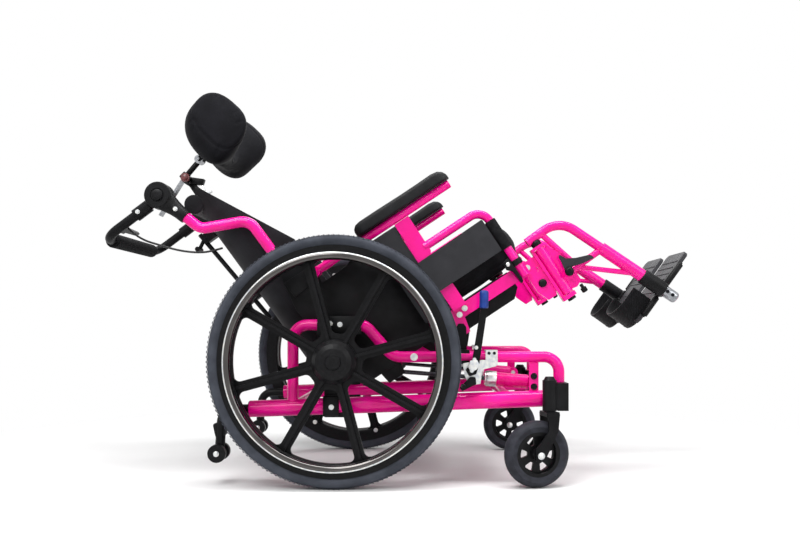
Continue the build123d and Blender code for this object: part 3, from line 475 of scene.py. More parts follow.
def lathed(name, material, body, slot, turnings, **finish):
    """Piece of turned shapes only; each turning is what Maker.lathe takes."""
    maker = Maker()
    for turning in turnings:
        maker.lathe(*turning)
    return maker.done(name, material, body, slot, **finish)


def smooth_line(points, steps):
    """Points along a smooth line through the given ones."""
    line = []
    for i in range(len(points) - 1):
        a = points[max(i - 1, 0)]
        b, c = points[i], points[i + 1]
        d = points[min(i + 2, len(points) - 1)]
        for n in range(steps):
            t = n / steps
            bend = (2 * a - 5 * b + 4 * c - d) * t * t + (3 * b - a - 3 * c + d) * t**3
            line.append(0.5 * (2 * b + (c - a) * t + bend))
    line.append(points[-1])
    return line


def circle(x, y, radius, count):
    """Round profile about a middle, with that many points."""
    turns = [2 * pi * n / count for n in range(count)]
    return [(x + radius * cos(t), y + radius * sin(t)) for t in turns]


# ---- repeats, placed by Geometry Nodes ----
def node_group(title, output, inputs):
    """Geometry node group with named inputs (kind, default) and one output.

    Also returns the identifiers of its inputs by name, and the sockets they come in by.
    """
    tree = bpy.data.node_groups.new(title, "GeometryNodeTree")
    identifiers = {}
    for name, (kind, value) in inputs.items():
        socket = tree.interface.new_socket(name, in_out="INPUT", socket_type=f"NodeSocket{kind}")
        if value is not None:
            socket.default_value = value
        identifiers[name] = socket.identifier
    tree.interface.new_socket(output, in_out="OUTPUT", socket_type="NodeSocketGeometry")
    return tree, identifiers, add(tree, "NodeGroupInput").outputs


def vector_attribute(tree, name):
    """Vector that each point carries under a name."""
    kind = "GeometryNodeInputNamedAttribute"
    return add(tree, kind, data_type="FLOAT_VECTOR", name=name).outputs["Attribute"]


def facing(tree, way):
    """Rotation that turns Z to a direction."""
    turned = add(tree, "FunctionNodeAlignRotationToVector", [("Vector", way)], axis="Z")
    return turned.outputs["Rotation"]


def repeated(tree, points, shape, rotation):
    """A shape on every point, realized."""
    links = [("Points", points), ("Instance", shape), ("Rotation", rotation)]
    placed = add(tree, "GeometryNodeInstanceOnPoints", links)
    return add(tree, "GeometryNodeRealizeInstances", [(0, placed.outputs["Instances"])]).outputs[0]


def paint_group(tree, shape, material):
    """Sets the material of what a group makes and puts it out."""
    painted = add(tree, "GeometryNodeSetMaterial", [(0, shape), ("Material", material)])
    add(tree, "NodeGroupOutput", [(0, painted.outputs[0])])


def spread(name, group, attribute, places, settings):
    """Mesh that a group makes on places, which are points with a vector each."""
    tree, identifiers, _ = group
    mesh = bpy.data.meshes.new(name + "_places")
    mesh.from_pydata([point for point, _ in places], [], [])
    vectors = mesh.attributes.new(attribute, "FLOAT_VECTOR", "POINT")
    for value, (_, vector) in zip(vectors.data, places):
        value.vector = vector
    holder = new_object(name + "_places", mesh)
    modifier = holder.modifiers.new("repeats", "NODES")
    modifier.node_group = tree
    for title, value in settings.items():
        modifier[identifiers[title]] = value
    return plain(holder)


# ---- screws ----
WASHER_DEPTH = 0.0016
HEAD_TAPER = 0.86


def screw_group():
    """Screw heads on their washers, which face each point's aim."""
    group = node_group(
        "screw heads on their washers",
        "Screws",
        {
            "Places": ("Geometry", None),
            "Sides": ("Int", 6),
            "Head Radius": ("Float", 0.005),
            "Head Height": ("Float", 0.004),
            "Washer Radius": ("Float", 0.008),
            "Finish": ("Material", None),
        },
    )
    tree, _, given = group
    turned = facing(tree, vector_attribute(tree, "aim"))
    washer_links = [("Radius", given["Washer Radius"])]
    washer = add(tree, "GeometryNodeMeshCylinder", washer_links, vertices=20, depth=WASHER_DEPTH)
    top = add(tree, "ShaderNodeMath", [(0, given["Head Radius"])], operation="MULTIPLY")
    top.inputs[1].default_value = HEAD_TAPER
    head_links = [
        ("Vertices", given["Sides"]),
        ("Radius Bottom", given["Head Radius"]),
        ("Radius Top", top.outputs[0]),
        ("Depth", given["Head Height"]),
    ]
    head = add(tree, "GeometryNodeMeshCone", head_links)
    parts = [(0, washer.outputs["Mesh"]), (0, head.outputs["Mesh"])]
    screw = add(tree, "GeometryNodeJoinGeometry", parts).outputs[0]
    placed = repeated(tree, given["Places"], screw, turned)
    flat = add(tree, "GeometryNodeSetShadeSmooth", [(0, placed)])
    flat.inputs["Shade Smooth"].default_value = False
    paint_group(tree, flat.outputs[0], given["Finish"])
    return group


SCREWS = screw_group()


def screws(name, places, body, material, sides=6, radius=5.0, height=4.0, washer=8.0):
    """Screw heads of one size (mm) on one body; places are (point, direction)."""
    settings = {
        "Sides": sides,
        "Head Radius": radius / 1000,
        "Head Height": height / 1000,
        "Washer Radius": washer / 1000,
        "Finish": material,
    }
    return link(name, spread(name, SCREWS, "aim", places, settings), material, body)


def both_sides(view, *spots):
    """Places on both sides that face outwards; a spot is its place in a view and its y."""
    return [(view(a, b, out * y), (0, out, 0)) for _, out in SIDES for a, b, y in spots]


# ---- rear wheels ----
WHEEL_RADIUS = 281.5
TYRE_STEPS = 160
TREAD_RADIUS = 0.2801
TREAD_BLOCK = (0.003, 0.005, 0.0016)
RING_RADIUS = 233
RING_STEPS = 180
RING_FOOT = (0.0155, 0.03)
WHEEL_Y = 280


def tread_group():
    """Rings of tread blocks about the Z axis, one for each point, turned by its vector."""
    group = node_group(
        "tread blocks round a tyre",
        "Tread",
        {
            "Rows": ("Geometry", None),
            "Blocks": ("Int", 96),
            "Radius": ("Float", 0.28),
            "Block Size": ("Vector", (0.006, 0.012, 0.003)),
            "Finish": ("Material", None),
        },
    )
    tree, _, given = group
    ring_links = [("Vertices", given["Blocks"]), ("Radius", given["Radius"])]
    ring = add(tree, "GeometryNodeMeshCircle", ring_links)
    outwards = facing(tree, add(tree, "GeometryNodeInputPosition").outputs[0])
    block = add(tree, "GeometryNodeMeshCube", [("Size", given["Block Size"])])
    row = repeated(tree, ring.outputs["Mesh"], block.outputs["Mesh"], outwards)
    rows = repeated(tree, given["Rows"], row, vector_attribute(tree, "turn"))
    paint_group(tree, rows, given["Finish"])
    return group


TREAD = tread_group()


def tyre(name, hub, across, body):
    """Solid tyre: bulged sidewalls with a bead line, a step and a crowned tread with grooves."""
    profile = [(-14, 258.6), (-16.2, 262), (-17.6, 265.5), (-18.4, 269), (-18.5, 272)]
    profile += [(-17.6, 275), (-16.2, 277), (-13.6, 278.6), (-12.8, 277.8), (-12, 279.2)]
    profile += [(-5, 280.8), (-4, 279.6), (-3, 281), (0, 281.4)]
    profile += [(-a, r) for a, r in reversed(profile[:-1])]
    profile += [(12, 256), (-12, 256)]
    skin = Maker()
    skin.lathe(hub, across, profile, TYRE_STEPS, closed=True)
    skin.done(f"tyre_skin_{name}", grey_tyre, body, "grey_tyre", (f"tyre_{name}",), angle=50)

    half_step = pi / TYRE_STEPS
    rows = ((-15.2, 0), (15.2, 0), (-8.4, half_step), (8.4, half_step), (0, 0))
    places = [((0, 0, shift / 1000), (0, 0, turn)) for shift, turn in rows]
    settings = {"Blocks": TYRE_STEPS, "Radius": TREAD_RADIUS, "Block Size": TREAD_BLOCK}
    settings["Finish"] = grey_tyre
    mesh = spread(f"tyre_tread_{name}", TREAD, "turn", places, settings)
    mesh.transform(Matrix.Translation(hub) @ Matrix.Rotation(radians(90), 4, "X"))
    link(f"tyre_tread_{name}", mesh, grey_tyre, body)


def ring_feet(hub):
    """Eight places round the hub where the hand ring is held."""
    turns = [radians(15 + 45 * n) for n in range(8)]
    return [hub + Vector((cos(t), 0, sin(t))) * (RING_RADIUS / 1000) for t in turns]


def hand_ring(name, hub, across, body):
    """Round hand ring on its feet, and a thin bright band on its outside, which is a painted highlight
    and no part of the ring.
    """
    ring = Maker()
    ring.lathe(hub, across, circle(34, RING_RADIUS, 8, 24), RING_STEPS, closed=True)
    for foot in ring_feet(hub):
        ring.rod(foot + across * RING_FOOT[0], foot + across * RING_FOOT[1], 4, 20)
    title = f"hand_ring_{name}"
    ring.done(title, hand_ring_aluminium, body, "polished_handrim", (f"handrim_{name}",))
    # painted highlight: a thin bright zinc band that stands in for the reflection along the ring's
    # outer edge
    painted_highlight_band = [(hub, across, circle(38.5, 238.2, 2.4, 16), RING_STEPS, True)]
    lathed(f"hand_ring_lip_{name}", zinc_plate, body, "polished_handrim", painted_highlight_band)


def hub_end(name, hub, across, body):
    """Axle button in the hub's hexagonal end."""
    profile = [(37, 3), (38.2, 3), (38.2, 12.5), (37.4, 13.5)]
    profile += [(36.6, 13.5), (36.6, 17.4), (36, 17.6), (30, 18)]
    turnings = [(hub, across, profile, 6)]
    lathed(f"hub_end_{name}", filled_nylon, body, "wheel_nylon", turnings, bevel=0.6)


def hand_ring_screws(name, hub, across, body):
    """Screws on the inside of the wheel that hold the hand ring's feet."""
    places = [(foot - across * 0.0158, -across) for foot in ring_feet(hub)]
    title = f"hand_ring_screws_{name}"
    screws(title, places, body, zinc_plate, radius=4.2, height=3.6, washer=6.2)


for name, out in SIDES:
    hub = side(0, WHEEL_RADIUS, out * WHEEL_Y)
    for make in (tyre, hand_ring, hub_end, hand_ring_screws):
        make(name, hub, Vector((0, out, 0)), f"rear_wheel_{name}")

# ---- padded pieces ----
WELD = 0.00002
COVER_PRESSURE = 4.0
COVER_FRAMES = 20


def solid_copy(node, voxel, shrink):
    """The CAD solid remeshed evenly and drawn in, as a mesh."""
    mesh = nodes[node].data.copy()
    bm = bmesh.new()
    bm.from_mesh(mesh)
    bmesh.ops.remove_doubles(bm, verts=bm.verts, dist=WELD)
    bm.to_mesh(mesh)
    bm.free()
    holder = new_object(node + "_copy", mesh)
    even = holder.modifiers.new("even mesh", "REMESH")
    even.mode = "VOXEL"
    even.voxel_size = voxel
    drawn = holder.modifiers.new("drawn in", "DISPLACE")
    drawn.mid_level = 0
    drawn.strength = -shrink / 1000
    soft = holder.modifiers.new("rounded", "SMOOTH")
    soft.iterations = 6
    soft.factor = 0.5
    return plain(holder)


def stuffed(node, held, cap, voxel, shrink):
    """Blows the solid up as cloth over its foam, holds some of it and caps its swelling (mm)."""
    mesh = solid_copy(node, voxel, shrink)
    start = [v.co.copy() for v in mesh.vertices]
    holder = new_object(node + "_cloth", mesh)
    group = holder.vertex_groups.new(name="held")
    group.add([i for i, p in enumerate(start) if held(p)], 1.0, "REPLACE")
    cloth = holder.modifiers.new("cover", "CLOTH")
    cloth.settings.quality = 5
    cloth.settings.use_pressure = True
    cloth.settings.uniform_pressure_force = COVER_PRESSURE
    cloth.settings.effector_weights.gravity = 0
    cloth.settings.vertex_group_mass = "held"
    cloth.settings.tension_stiffness = 12
    cloth.settings.compression_stiffness = 12
    cloth.settings.bending_stiffness = 1.5
    cloth.collision_settings.use_collision = False
    for number in range(1, COVER_FRAMES + 1):
        bpy.context.scene.frame_set(number)
    swollen = plain(holder)
    bpy.context.scene.frame_set(1)
    for vertex, place in zip(swollen.vertices, start):
        moved = vertex.co - place
        if moved.length > cap / 1000:
            vertex.co = place + moved.normalized() * (cap / 1000)
    return swollen


def finer(mesh):
    """One level of subdivision, applied."""
    holder = new_object("finer", mesh)
    level = holder.modifiers.new("finer", "SUBSURF")
    level.levels = level.render_levels = 1
    return plain(holder)


def press(mesh, lift):
    """Moves each vertex along its normal by what lift says at its place, in metres."""
    normals = [v.normal.copy() for v in mesh.vertices]
    for vertex, normal in zip(mesh.vertices, normals):
        vertex.co += normal * lift(vertex.co)


def seam(mesh, distance, width, depth):
    """Presses a sewn line into a mesh; distance gives mm from the line to a point."""

    def lift(p):
        away = distance(p)
        return -depth / 1000 * (1 - (away / width) ** 2) ** 2 if away < width else 0.0

    press(mesh, lift)


def wrinkle(mesh, size, depth, seed):
    """Slow unevenness of stretched cloth, size and depth in mm."""
    shift = Vector((seed, seed * 2.3, seed * 0.7))
    press(mesh, lambda p: noise.noise(p * 1000 / size + shift) * depth / 1000)


def in_view(p, corner, way):
    """A point's place in a tilted view, in mm along its way and square to it."""
    x = p.x * 1000 - AXLE_X - corner[0]
    z = p.z * 1000 - corner[1]
    return way[0] * x + way[1] * z, -way[1] * x + way[0] * z


def in_seat(p):
    """A point's place in the tilted seat's view, in mm."""
    return in_view(p, CORNER, SEAT_WAY)


def in_back(p):
    """A point's place in the back's view, in mm."""
    return in_view(p, CORNER, BACK_WAY)


def padded_piece(name, mesh, material, body, node):
    mesh.shade_smooth()
    piece = link(name, mesh, material, body, (node,))


FAR_FROM_SEAM = 99.0


def border_seam(p):
    """Millimetres to the seam round the seat cushion's top."""
    u, v = in_seat(p)
    return abs(v - (104 + 0.02 * u))


def centre_channel(p):
    """Millimetres to the channel down the middle of the seat cushion's front."""
    u, v = in_seat(p)
    return abs(p.y * 1000) if v >= 110 and u >= 330 else FAR_FROM_SEAM


def seat_cushion():
    """Contoured foam in a knit cover, held flat where it lies on the pan."""
    mesh = finer(stuffed("seat_cushion", lambda p: in_seat(p)[1] < 30, 9, 0.006, 7))
    wrinkle(mesh, 60, 1.8, 3.1)
    seam(mesh, border_seam, 4.5, 2.6)
    seam(mesh, lambda p: abs(in_seat(p)[1] - 42), 4.0, 1.8)
    seam(mesh, centre_channel, 7.0, 2.0)
    padded_piece("seat_cushion_cover", mesh, black_knit, "seat", "seat_cushion")


def back_cushion():
    """Foam in the shell, full at the sides, with sewn channels across it and down its sides."""
    mesh = stuffed(
        "back_cushion", lambda p: in_back(p)[0] < -62 or abs(p.y) > 0.16, 9, 0.006, 4
    )
    mesh = finer(mesh)
    wrinkle(mesh, 55, 1.8, 7.7)
    for height in (210, 350, 480):
        seam(mesh, lambda p, h=height: abs(in_back(p)[1] - h), 6.0, 2.6)
    seam(mesh, lambda p: abs(abs(p.y * 1000) - 122), 4.5, 2.2)
    padded_piece("back_cushion_cover", mesh, black_knit, "seat", "back_cushion")


HEAD = (-305.0, 830.0)
HEAD_WAY = (0.70, 0.714)
HEAD_HALF = 93.0
LOWER_SHARE = 0.66
WING_MIDDLE, WING_HALF = 11, 73
WING_START, WING_BLEND = 60, 45
# how square the wing's corners are, by whether they lie to the rear and whether above
CORNER_POWER = {(True, True): 2.3, (True, False): 3.6, (False, True): 2.8, (False, False): 2.2}


def in_head(p):
    """Forward of and up from the head pad's middle, in mm."""
    return in_view(p, HEAD, HEAD_WAY)


def wing_shape(p):
    """Shortens the pad's lower half and squares its wings, most at their lower rear corner."""
    ahead, up = in_head(p)
    half = HEAD_HALF
    if up < 0:
        up, half = up * LOWER_SHARE, half * LOWER_SHARE
    wing = min(max((abs(p.y * 1000) - WING_START) / WING_BLEND, 0), 1)
    e, f = (ahead - WING_MIDDLE) / WING_HALF, up / half
    reach = hypot(e, f)
    if wing and reach > 0.01:
        power = CORNER_POWER[e < 0, f > 0]
        corner = ((abs(e) / reach) ** power + (abs(f) / reach) ** power) ** (-1 / power)
        share = 1 + (corner - 1) * wing
        ahead, up = WING_MIDDLE + (ahead - WING_MIDDLE) * share, up * share
    return side(*turned_view(HEAD, HEAD_WAY, ahead, up), p.y * 1000)


def wing_piping(p):
    """Millimetres to the piping down each wing."""
    y = abs(p.y * 1000)
    return abs(y - 118 + 0.25 * (in_head(p)[0] - 10)) if y > 90 else FAR_FROM_SEAM


def head_pad():
    """One moulded foam pad with two wings, in a smooth stretch cover."""
    mesh = stuffed(
        "headrest_pad", lambda p: abs(p.y) < 0.03 and in_head(p)[0] < -50, 7, 0.0045, 3.5
    )
    for vertex in mesh.vertices:
        vertex.co = wing_shape(vertex.co)
    mesh = finer(mesh)
    wrinkle(mesh, 60, 0.8, 1.4)
    seam(mesh, wing_piping, 3.0, 1.3)
    padded_piece("headrest_cover", mesh, stretch_knit, "headrest", "headrest_pad")


seat_cushion()
back_cushion()
head_pad()

# stations of an arm pad along the arm: where, its top and its half width
PAD_STATIONS = (
    (168.5, 286, 3), (171, 292, 12), (178, 297.5, 21), (190, 299.6, 24.6),
    (240, 299.6, 24.8), (300, 298.6, 24.8), (350, 298.8, 24.8), (385, 299.6, 24.4),
    (401, 297.4, 22), (411, 291.5, 17), (416, 284, 10), (417.6, 280, 4),
)
PAD_LOW = 271.2
PAD_Y = 217


def arm_pad(name, out):
    """Arm pad of skinned foam, crowned and full round its edges, as a loft along the arm."""
    rings = []
    for u, top, half in PAD_STATIONS:
        high = max(top, PAD_LOW + 4)
        edge = min(9.0, (high - PAD_LOW) * 0.45, half * 0.6)
        section = []
        for cy, cv, start in (
            (half - edge, high - edge, 0),
            (-half + edge, high - edge, 90),
            (-half + edge * 0.6, PAD_LOW + edge * 0.5, 180),
            (half - edge * 0.6, PAD_LOW + edge * 0.5, 270),
        ):
            size = edge if start < 180 else edge * 0.5
            for step in range(6):
                turn = radians(start + step * 18)
                section.append((cy + size * cos(turn), cv + size * sin(turn)))
        rings.append([seat(u, v, out * PAD_Y + y) for y, v in section])
    maker = Maker()
    maker.rings(rings)
    piece = maker.done(
        f"arm_pad_skin_{name}", skinned_foam, f"arm_{name}", "arm_pad_foam",
        (f"arm_pad_{name}",), angle=70,
    )


for name, out in SIDES:
    arm_pad(name, out)

# ---- base fittings ----
AXLE_COVER = ((-44, 338), (-44, 376), (-38, 383), (50, 383), (56, 376), (56, 342))
LOWER_COVER = ((-30, 157), (-30, 201), (6, 201), (6, 157))
LOCK_CHEEK = ((297, 268), (303, 283), (318, 284), (324, 272), (316, 262), (305, 257))
CASTER_TURN = {"right": radians(12), "left": radians(4)}
CASTER_TRAIL = 0.031
CASTER_HALF_WIDTH = 0.0306

screws(
    "frame_screws", both_sides(side, (176, 290, 237.7)),
    "base", zinc_plate, radius=5.5, height=4.5, washer=8.5,
)
screws(
    "axle_mount_screws",
    both_sides(side, (-14, 366, 242.2), (8, 364, 242.2), (-11, 177, 247.4)),
    "base", zinc_plate, sides=16, radius=4.2, height=3.4, washer=6.0,
)

# flanges of the axle mounts over the hump and the lower rail
axle_covers = Maker()
for name, out in SIDES:
    axle_covers.plate(side, AXLE_COVER, out * 240, 4)
    axle_covers.plate(side, LOWER_COVER, out * 245.8, 3)
axle_covers.done("axle_mount_flanges", moulded_black, "base", "hub_plastic", bevel=1.2)

screws(
    "front_plate_screws", both_sides(side, (449.5, 246, 229), (449.5, 222, 229)),
    "base", black_steel, sides=18, radius=6.0, height=5.0, washer=7.5,
)
screws(
    "saddle_screws", both_sides(side, (345.5, 299, 246.5), (357.5, 299, 246.5)),
    "base", black_steel, sides=14, radius=2.6, height=1.6, washer=3.6,
)
screws(
    "lock_rivets", both_sides(side, (322, 274, 250), (318, 240, 250), (350, 276, 250)),
    "base", zinc_plate, sides=14, radius=3.0, height=1.8, washer=4.2,
)


def lock_lever(name, out):
    """Rivets and zinc cheek on the foot of a wheel lock's lever, and its dipped blue grip."""
    body = f"lock_lever_{name}"
    rivets = [(side(x, z, out * 255), (0, out, 0)) for x, z in ((312, 285), (316, 312))]
    screws(
        f"lock_lever_rivets_{name}", rivets,
        body, zinc_plate, sides=14, radius=3.2, height=2.0, washer=4.4,
    )
    cheek = Maker()
    cheek.plate(side, LOCK_CHEEK, out * 256.4, 2.4)
    cheek.done(f"lock_cheek_{name}", zinc_plate, body, "zinc_plate", bevel=0.8)
    low, high = side(333.2, 400.5, out * 253), side(334.0, 441.0, out * 253)
    profile = [(0, 8.6), (1.2, 10), (4, 10.4), (20, 10.2), (33, 10.5), (37, 9.8)]
    profile += [(39.6, 7.6), (40.5, 4.0)]
    grip = Maker()
    grip.lathe(low, high - low, profile, 40)
    grip.done(
        f"lock_grip_skin_{name}", blue_vinyl, body, "blue_grip", (f"lock_grip_{name}",), angle=60
    )


def caster_nuts(name, out):
    """Nuts on a caster's axle, turned with its fork."""
    turn = CASTER_TURN[name]
    forward = Vector((cos(turn), -out * sin(turn), 0))
    across = Vector((out * sin(turn), cos(turn), 0))
    hub = side(480, 75, out * 261) - forward * CASTER_TRAIL
    profile = [(0, 8), (1, 8), (1.2, 6.8), (3.4, 6.4), (5.0, 4.6), (5.6, 2.2)]
    nuts = []
    for way in (-1, 1):
        nuts.append((hub + across * (CASTER_HALF_WIDTH * way), across * way, profile, 28))
    lathed(f"caster_axle_nuts_{name}", zinc_plate, f"caster_{name}", "zinc_plate", nuts, angle=40)


def anti_tip_nuts(name, out):
    """Nuts on an anti-tip wheel's axle."""
    profile = [(0, 6.4), (1, 6.4), (1.2, 5.4), (3, 4.8), (4, 2.6)]
    nuts = []
    for way in (-1, 1):
        nuts.append((side(-270, 72, out * 225 + way * 26.6), (0, way, 0), profile, 24))
    lathed(f"anti_tip_nuts_{name}", zinc_plate, "base", "zinc_plate", nuts, angle=40)


for name, out in SIDES:
    lock_lever(name, out)
    caster_nuts(name, out)
    anti_tip_nuts(name, out)

# ---- gas strut collars ----
STRUT_BASE = Vector((449.0, 230.0))
STRUT_WAY = (Vector((127.0, 255.0)) - STRUT_BASE).normalized()
COLLAR_PLACE = STRUT_BASE + STRUT_WAY * 82
COLLAR = [(0, 16.05), (0, 17.6), (1, 18.2), (22, 18.2), (23, 17.6), (25, 15), (26.8, 12), (26.8, 16.05)]

collars = []
for name, out in SIDES:
    place = side(*COLLAR_PLACE, out * 182)
    collars.append((place, (STRUT_WAY.x, 0, STRUT_WAY.y), COLLAR, 48, True))
lathed("strut_collars", zinc_plate, "strut_tubes", "zinc_plate", collars, angle=40)
screws(
    "strut_eye_screws", [(side(449, 230, out * 173.2), (0, -out, 0)) for _, out in SIDES],
    "base", zinc_plate, radius=6.5, height=4.0, washer=9.0,
)

# ---- seat fittings ----
GUARD_Y = 215
HANGER_Y = 198
LATCH = ((414, 40), (429, 44), (431, 22), (431, -20), (424, -22), (422, 12), (412, 22))

screws(
    "seat_rail_screws",
    both_sides(seat, (284, 2, 208.2), (266, -4, 208.2)) + both_sides(seat, (457, 0, 201.2)),
    "seat", zinc_plate, sides=18, radius=4.6, height=3.4, washer=6.8,
)


def guard_fittings(name, out):
    """Foam sleeve on a guard's front tube, and the latch that holds the tube, with its button."""
    place = seat(442, 64, out * GUARD_Y)
    way = seat(442, 140, 0) - seat(442, 64, 0)
    sleeve = [(0, 10.05), (0, 12.6), (1.5, 13.4), (72, 13.4), (74, 12.6), (74, 10.05)]
    turnings = [(place, way, sleeve, 40, True)]
    lathed(f"front_sleeve_{name}", closed_cell_foam, "seat", "grip_foam", turnings, angle=50)
    latch = Maker()
    latch.plate(seat, LATCH, out * 216.5, 11)
    collar = [(0, 10.1), (0, 13), (14, 13), (14, 10.1)]
    latch.lathe(seat(442, 18, out * GUARD_Y), SEAT_UP, collar, 32, closed=True)
    latch.done(f"guard_latch_{name}", moulded_black, "seat", "hub_plastic", bevel=1.6)
    button = [(0, 4.6), (1.6, 4.6), (2.4, 3.6), (2.6, 1.5)]
    turnings = [(seat(421, 31, out * 222), (0, out, 0), button, 20)]
    lathed(f"latch_button_{name}", zinc_plate, "seat", "zinc_plate", turnings)


def hanger_fittings(name, out):
    """Cap over a hanger's pin, knob on the front plate, and the hanger's own knob and stop."""
    pin_cap = [(0, 12), (4, 12), (7.5, 9.8), (9.5, 5), (9.8, 2)]
    plate_knob = [(0, 9.5), (4.5, 9.5), (7.5, 7.4), (8.6, 3.5)]
    caps = [
        (seat(505, 34.8, out * HANGER_Y), SEAT_UP, pin_cap, 32),
        (seat(467, -49, out * 201.2), (0, out, 0), plate_knob, 32),
    ]
    lathed(f"front_caps_{name}", moulded_black, "seat", "hub_plastic", caps, angle=45)
    pivot_knob = [(0, 9), (0.8, 10.4), (5, 10.4), (8.4, 8), (9.4, 4)]
    rubber_stop = [(0, 4), (9, 4), (9, 7), (19, 7), (21, 5)]
    knobs = [
        (seat(530, -60, out * 218.2), (0, out, 0), pivot_knob, 32),
        (seat(540, -100, out * HANGER_Y), -SEAT_UP, rubber_stop, 28),
    ]
    title = f"hanger_knobs_{name}"
    lathed(title, moulded_black, f"hanger_{name}", "hub_plastic", knobs, angle=45)


for name, out in SIDES:
    guard_fittings(name, out)
    hanger_fittings(name, out)

# black side covers between the seat rails and the back, over the struts' rear eyes and over
# the plates that hold the back's tubes
SIDE_COVER = (
    (-148, 545), (-97, 536), (-51, 494), (-37, 460), (18, 499), (32, 517), (108, 508), (166, 430),
    (247, 370), (252, 350), (59, 222), (28, 316), (-46, 340), (-97, 397), (-134, 478),
)
EYE_COVER = ((43, -47), (87, -47), (96, 10), (34, 10))
BLOCK_COVER = ((-123, 460), (-74, 491), (-61, 455), (-99, 426))
side_covers = Maker()
for name, out in SIDES:
    side_covers.plate(side, SIDE_COVER, out * 204.9, 1.6)
    side_covers.plate(seat, EYE_COVER, out * 193.6, 2.4)
    side_covers.plate(side, BLOCK_COVER, out * 208, 6)
side_covers.done("seat_side_covers", moulded_black, "seat", "hub_plastic", bevel=0.8)

# ---- footrests ----
FOOT_HEEL = (610.0, -252.0)
FOOT_WAY = (0.934, 0.357)
HINGE_Y = 172.0
TUBE_TOP = Vector((580.0, 53.0))
TUBE_WAY = (Vector((706.0, -250.0)) - TUBE_TOP).normalized()
TUBE_LENGTH = 328.2
TIP_START = 290
TUBE_RADIUS = 0.0136


def foot(ahead, up, y):
    """Point from a footplate's view: from its heel to its toe, and square to it."""
    return seat(*turned_view(FOOT_HEEL, FOOT_WAY, ahead, up), y)


def down_tube(distance, y):
    """Point down a hanger's tube."""
    return seat(*(TUBE_TOP + TUBE_WAY * distance), y)


PLATE_UP = foot(0, 1, 0) - foot(0, 0, 0)
TUBE_DOWN = down_tube(1, 0) - down_tube(0, 0)


def footplate(name, out):
    """Plate with rounded corners and ribs on top, and the hinge barrels on its outer edge."""
    outline = [(0, 34), (8, 24), (196, 24), (204, 34), (204, 148), (196, 160), (110, 160)]
    outline += [(107, 156), (75, 156), (72, 160), (8, 160), (0, 148)]
    plate = Maker()
    plate.slab([foot(a, 0, out * y) for a, y in outline], PLATE_UP, 9.4)
    for a in (26, 44, 62, 84, 122, 140, 158, 176):
        rib = ((a - 2, 34), (a + 2, 34), (a + 2, 148), (a - 2, 148))
        plate.slab([foot(b, 5.2, out * y) for b, y in rib], PLATE_UP, 1.8)
    body = f"footplate_{name}"
    plate.done(f"footplate_top_{name}", foot_nylon, body, "footplate_plastic", (body,), bevel=1.4)
    barrels = Maker()
    hinge = out * HINGE_Y
    for start, stop in ((20, 72), (110, 168)):
        barrels.rod(foot(start, 0, hinge), foot(stop, 0, hinge), 7.5, chamfer=1)
        web = ((start, 150), (stop, 150), (stop, 172), (start, 172))
        barrels.slab([foot(a, 0, out * y) for a, y in web], PLATE_UP, 10.4)
    title = f"footplate_barrels_{name}"
    barrels.done(title, moulded_black, body, "footplate_plastic", bevel=0.8)


def heel_loop(name, out):
    """Stiff strap round the heel, with stitched edges, and its buckle."""
    path = [(36, 30.2), (22, 30.2)]
    for n in range(1, 12):
        turn = radians(15 * n)
        path.append((22 - 36 * sin(turn), 92 - 61.8 * cos(turn)))
    path += [(22, 153.8), (40, 153.8), (63, 153.8)]
    loop = Maker()
    for low, high, thick in ((-4, 54, 1.5), (47, 51, 2.1), (0, 4, 2.1)):
        rings = []
        for i, (a, y) in enumerate(path):
            ahead = Vector(path[min(i + 1, len(path) - 1)]) - Vector(path[max(i - 1, 0)])
            across = Vector((-ahead.y, ahead.x)).normalized() * thick
            ring = []
            for way, height in ((1, low), (1, high), (-1, high), (-1, low)):
                ring.append(foot(a + across.x * way, height, out * (y + across.y * way)))
            rings.append(ring)
        loop.rings(rings)
    body = f"footplate_{name}"
    loop.done(f"heel_loop_{name}", webbing, body, "black_cover", angle=40)
    buckle = Maker()
    corners = [foot(*corner, out * 27.4) for corner in ((20, 18), (20, 40), (33, 40), (33, 18))]
    for n, corner in enumerate(corners):
        buckle.rod(corner, corners[(n + 1) % 4], 2.0, 14)
    buckle.done(f"loop_buckle_{name}", zinc_plate, body, "zinc_plate")


def footplate_clamp(name, out):
    """Black sleeve over a hanger's tube with its hinge block and pin, and the tube's bright end."""
    body = f"hanger_{name}"
    clamp = Maker()
    sleeve = [(0, 14.7), (0, 16.4), (2, 18), (60, 18), (62, 16.6), (62, 11.1)]
    clamp.lathe(down_tube(233, out * HANGER_Y), TUBE_DOWN, sleeve, 48)
    clamp.plate(foot, ((78, -8), (104, -8), (104, 8), (78, 8)), out * 173, 20)
    clamp.rod(foot(16, 0, out * HINGE_Y), foot(172, 0, out * HINGE_Y), 4, 24, chamfer=0.6)
    clamp.done(
        f"footplate_clamp_skin_{name}", moulded_black, body, "hub_plastic",
        (f"footplate_clamp_{name}",), bevel=0.8,
    )
    long = TUBE_LENGTH - TIP_START
    profile = [(0, 12.6), (1, 13.4), (long - 5, 13.4), (long - 1, 12), (long + 1, 9.4), (long + 1.6, 5)]
    tip = [(down_tube(TIP_START, out * HANGER_Y), TUBE_DOWN, profile, 40)]
    lathed(f"hanger_tip_{name}", bright_steel, body, "zinc_plate", tip, angle=40)
    outward = Vector((0, out, 0))
    places = [(down_tube(d, out * HANGER_Y) + outward * TUBE_RADIUS, outward) for d in (300, 314)]
    screws(f"tip_screws_{name}", places, body, black_steel, radius=3.0, height=2.6, washer=4.2)


for name, out in SIDES:
    footplate(name, out)
    heel_loop(name, out)
    footplate_clamp(name, out)

# ---- back and handle fittings ----
HANDLE_PIVOT = (-418.0, 663.5)
CANE_END = Vector((-376.0, 630.0))
CANE_Y = 190
CANE_WAY = Vector((-54.0, 43.0)).normalized()
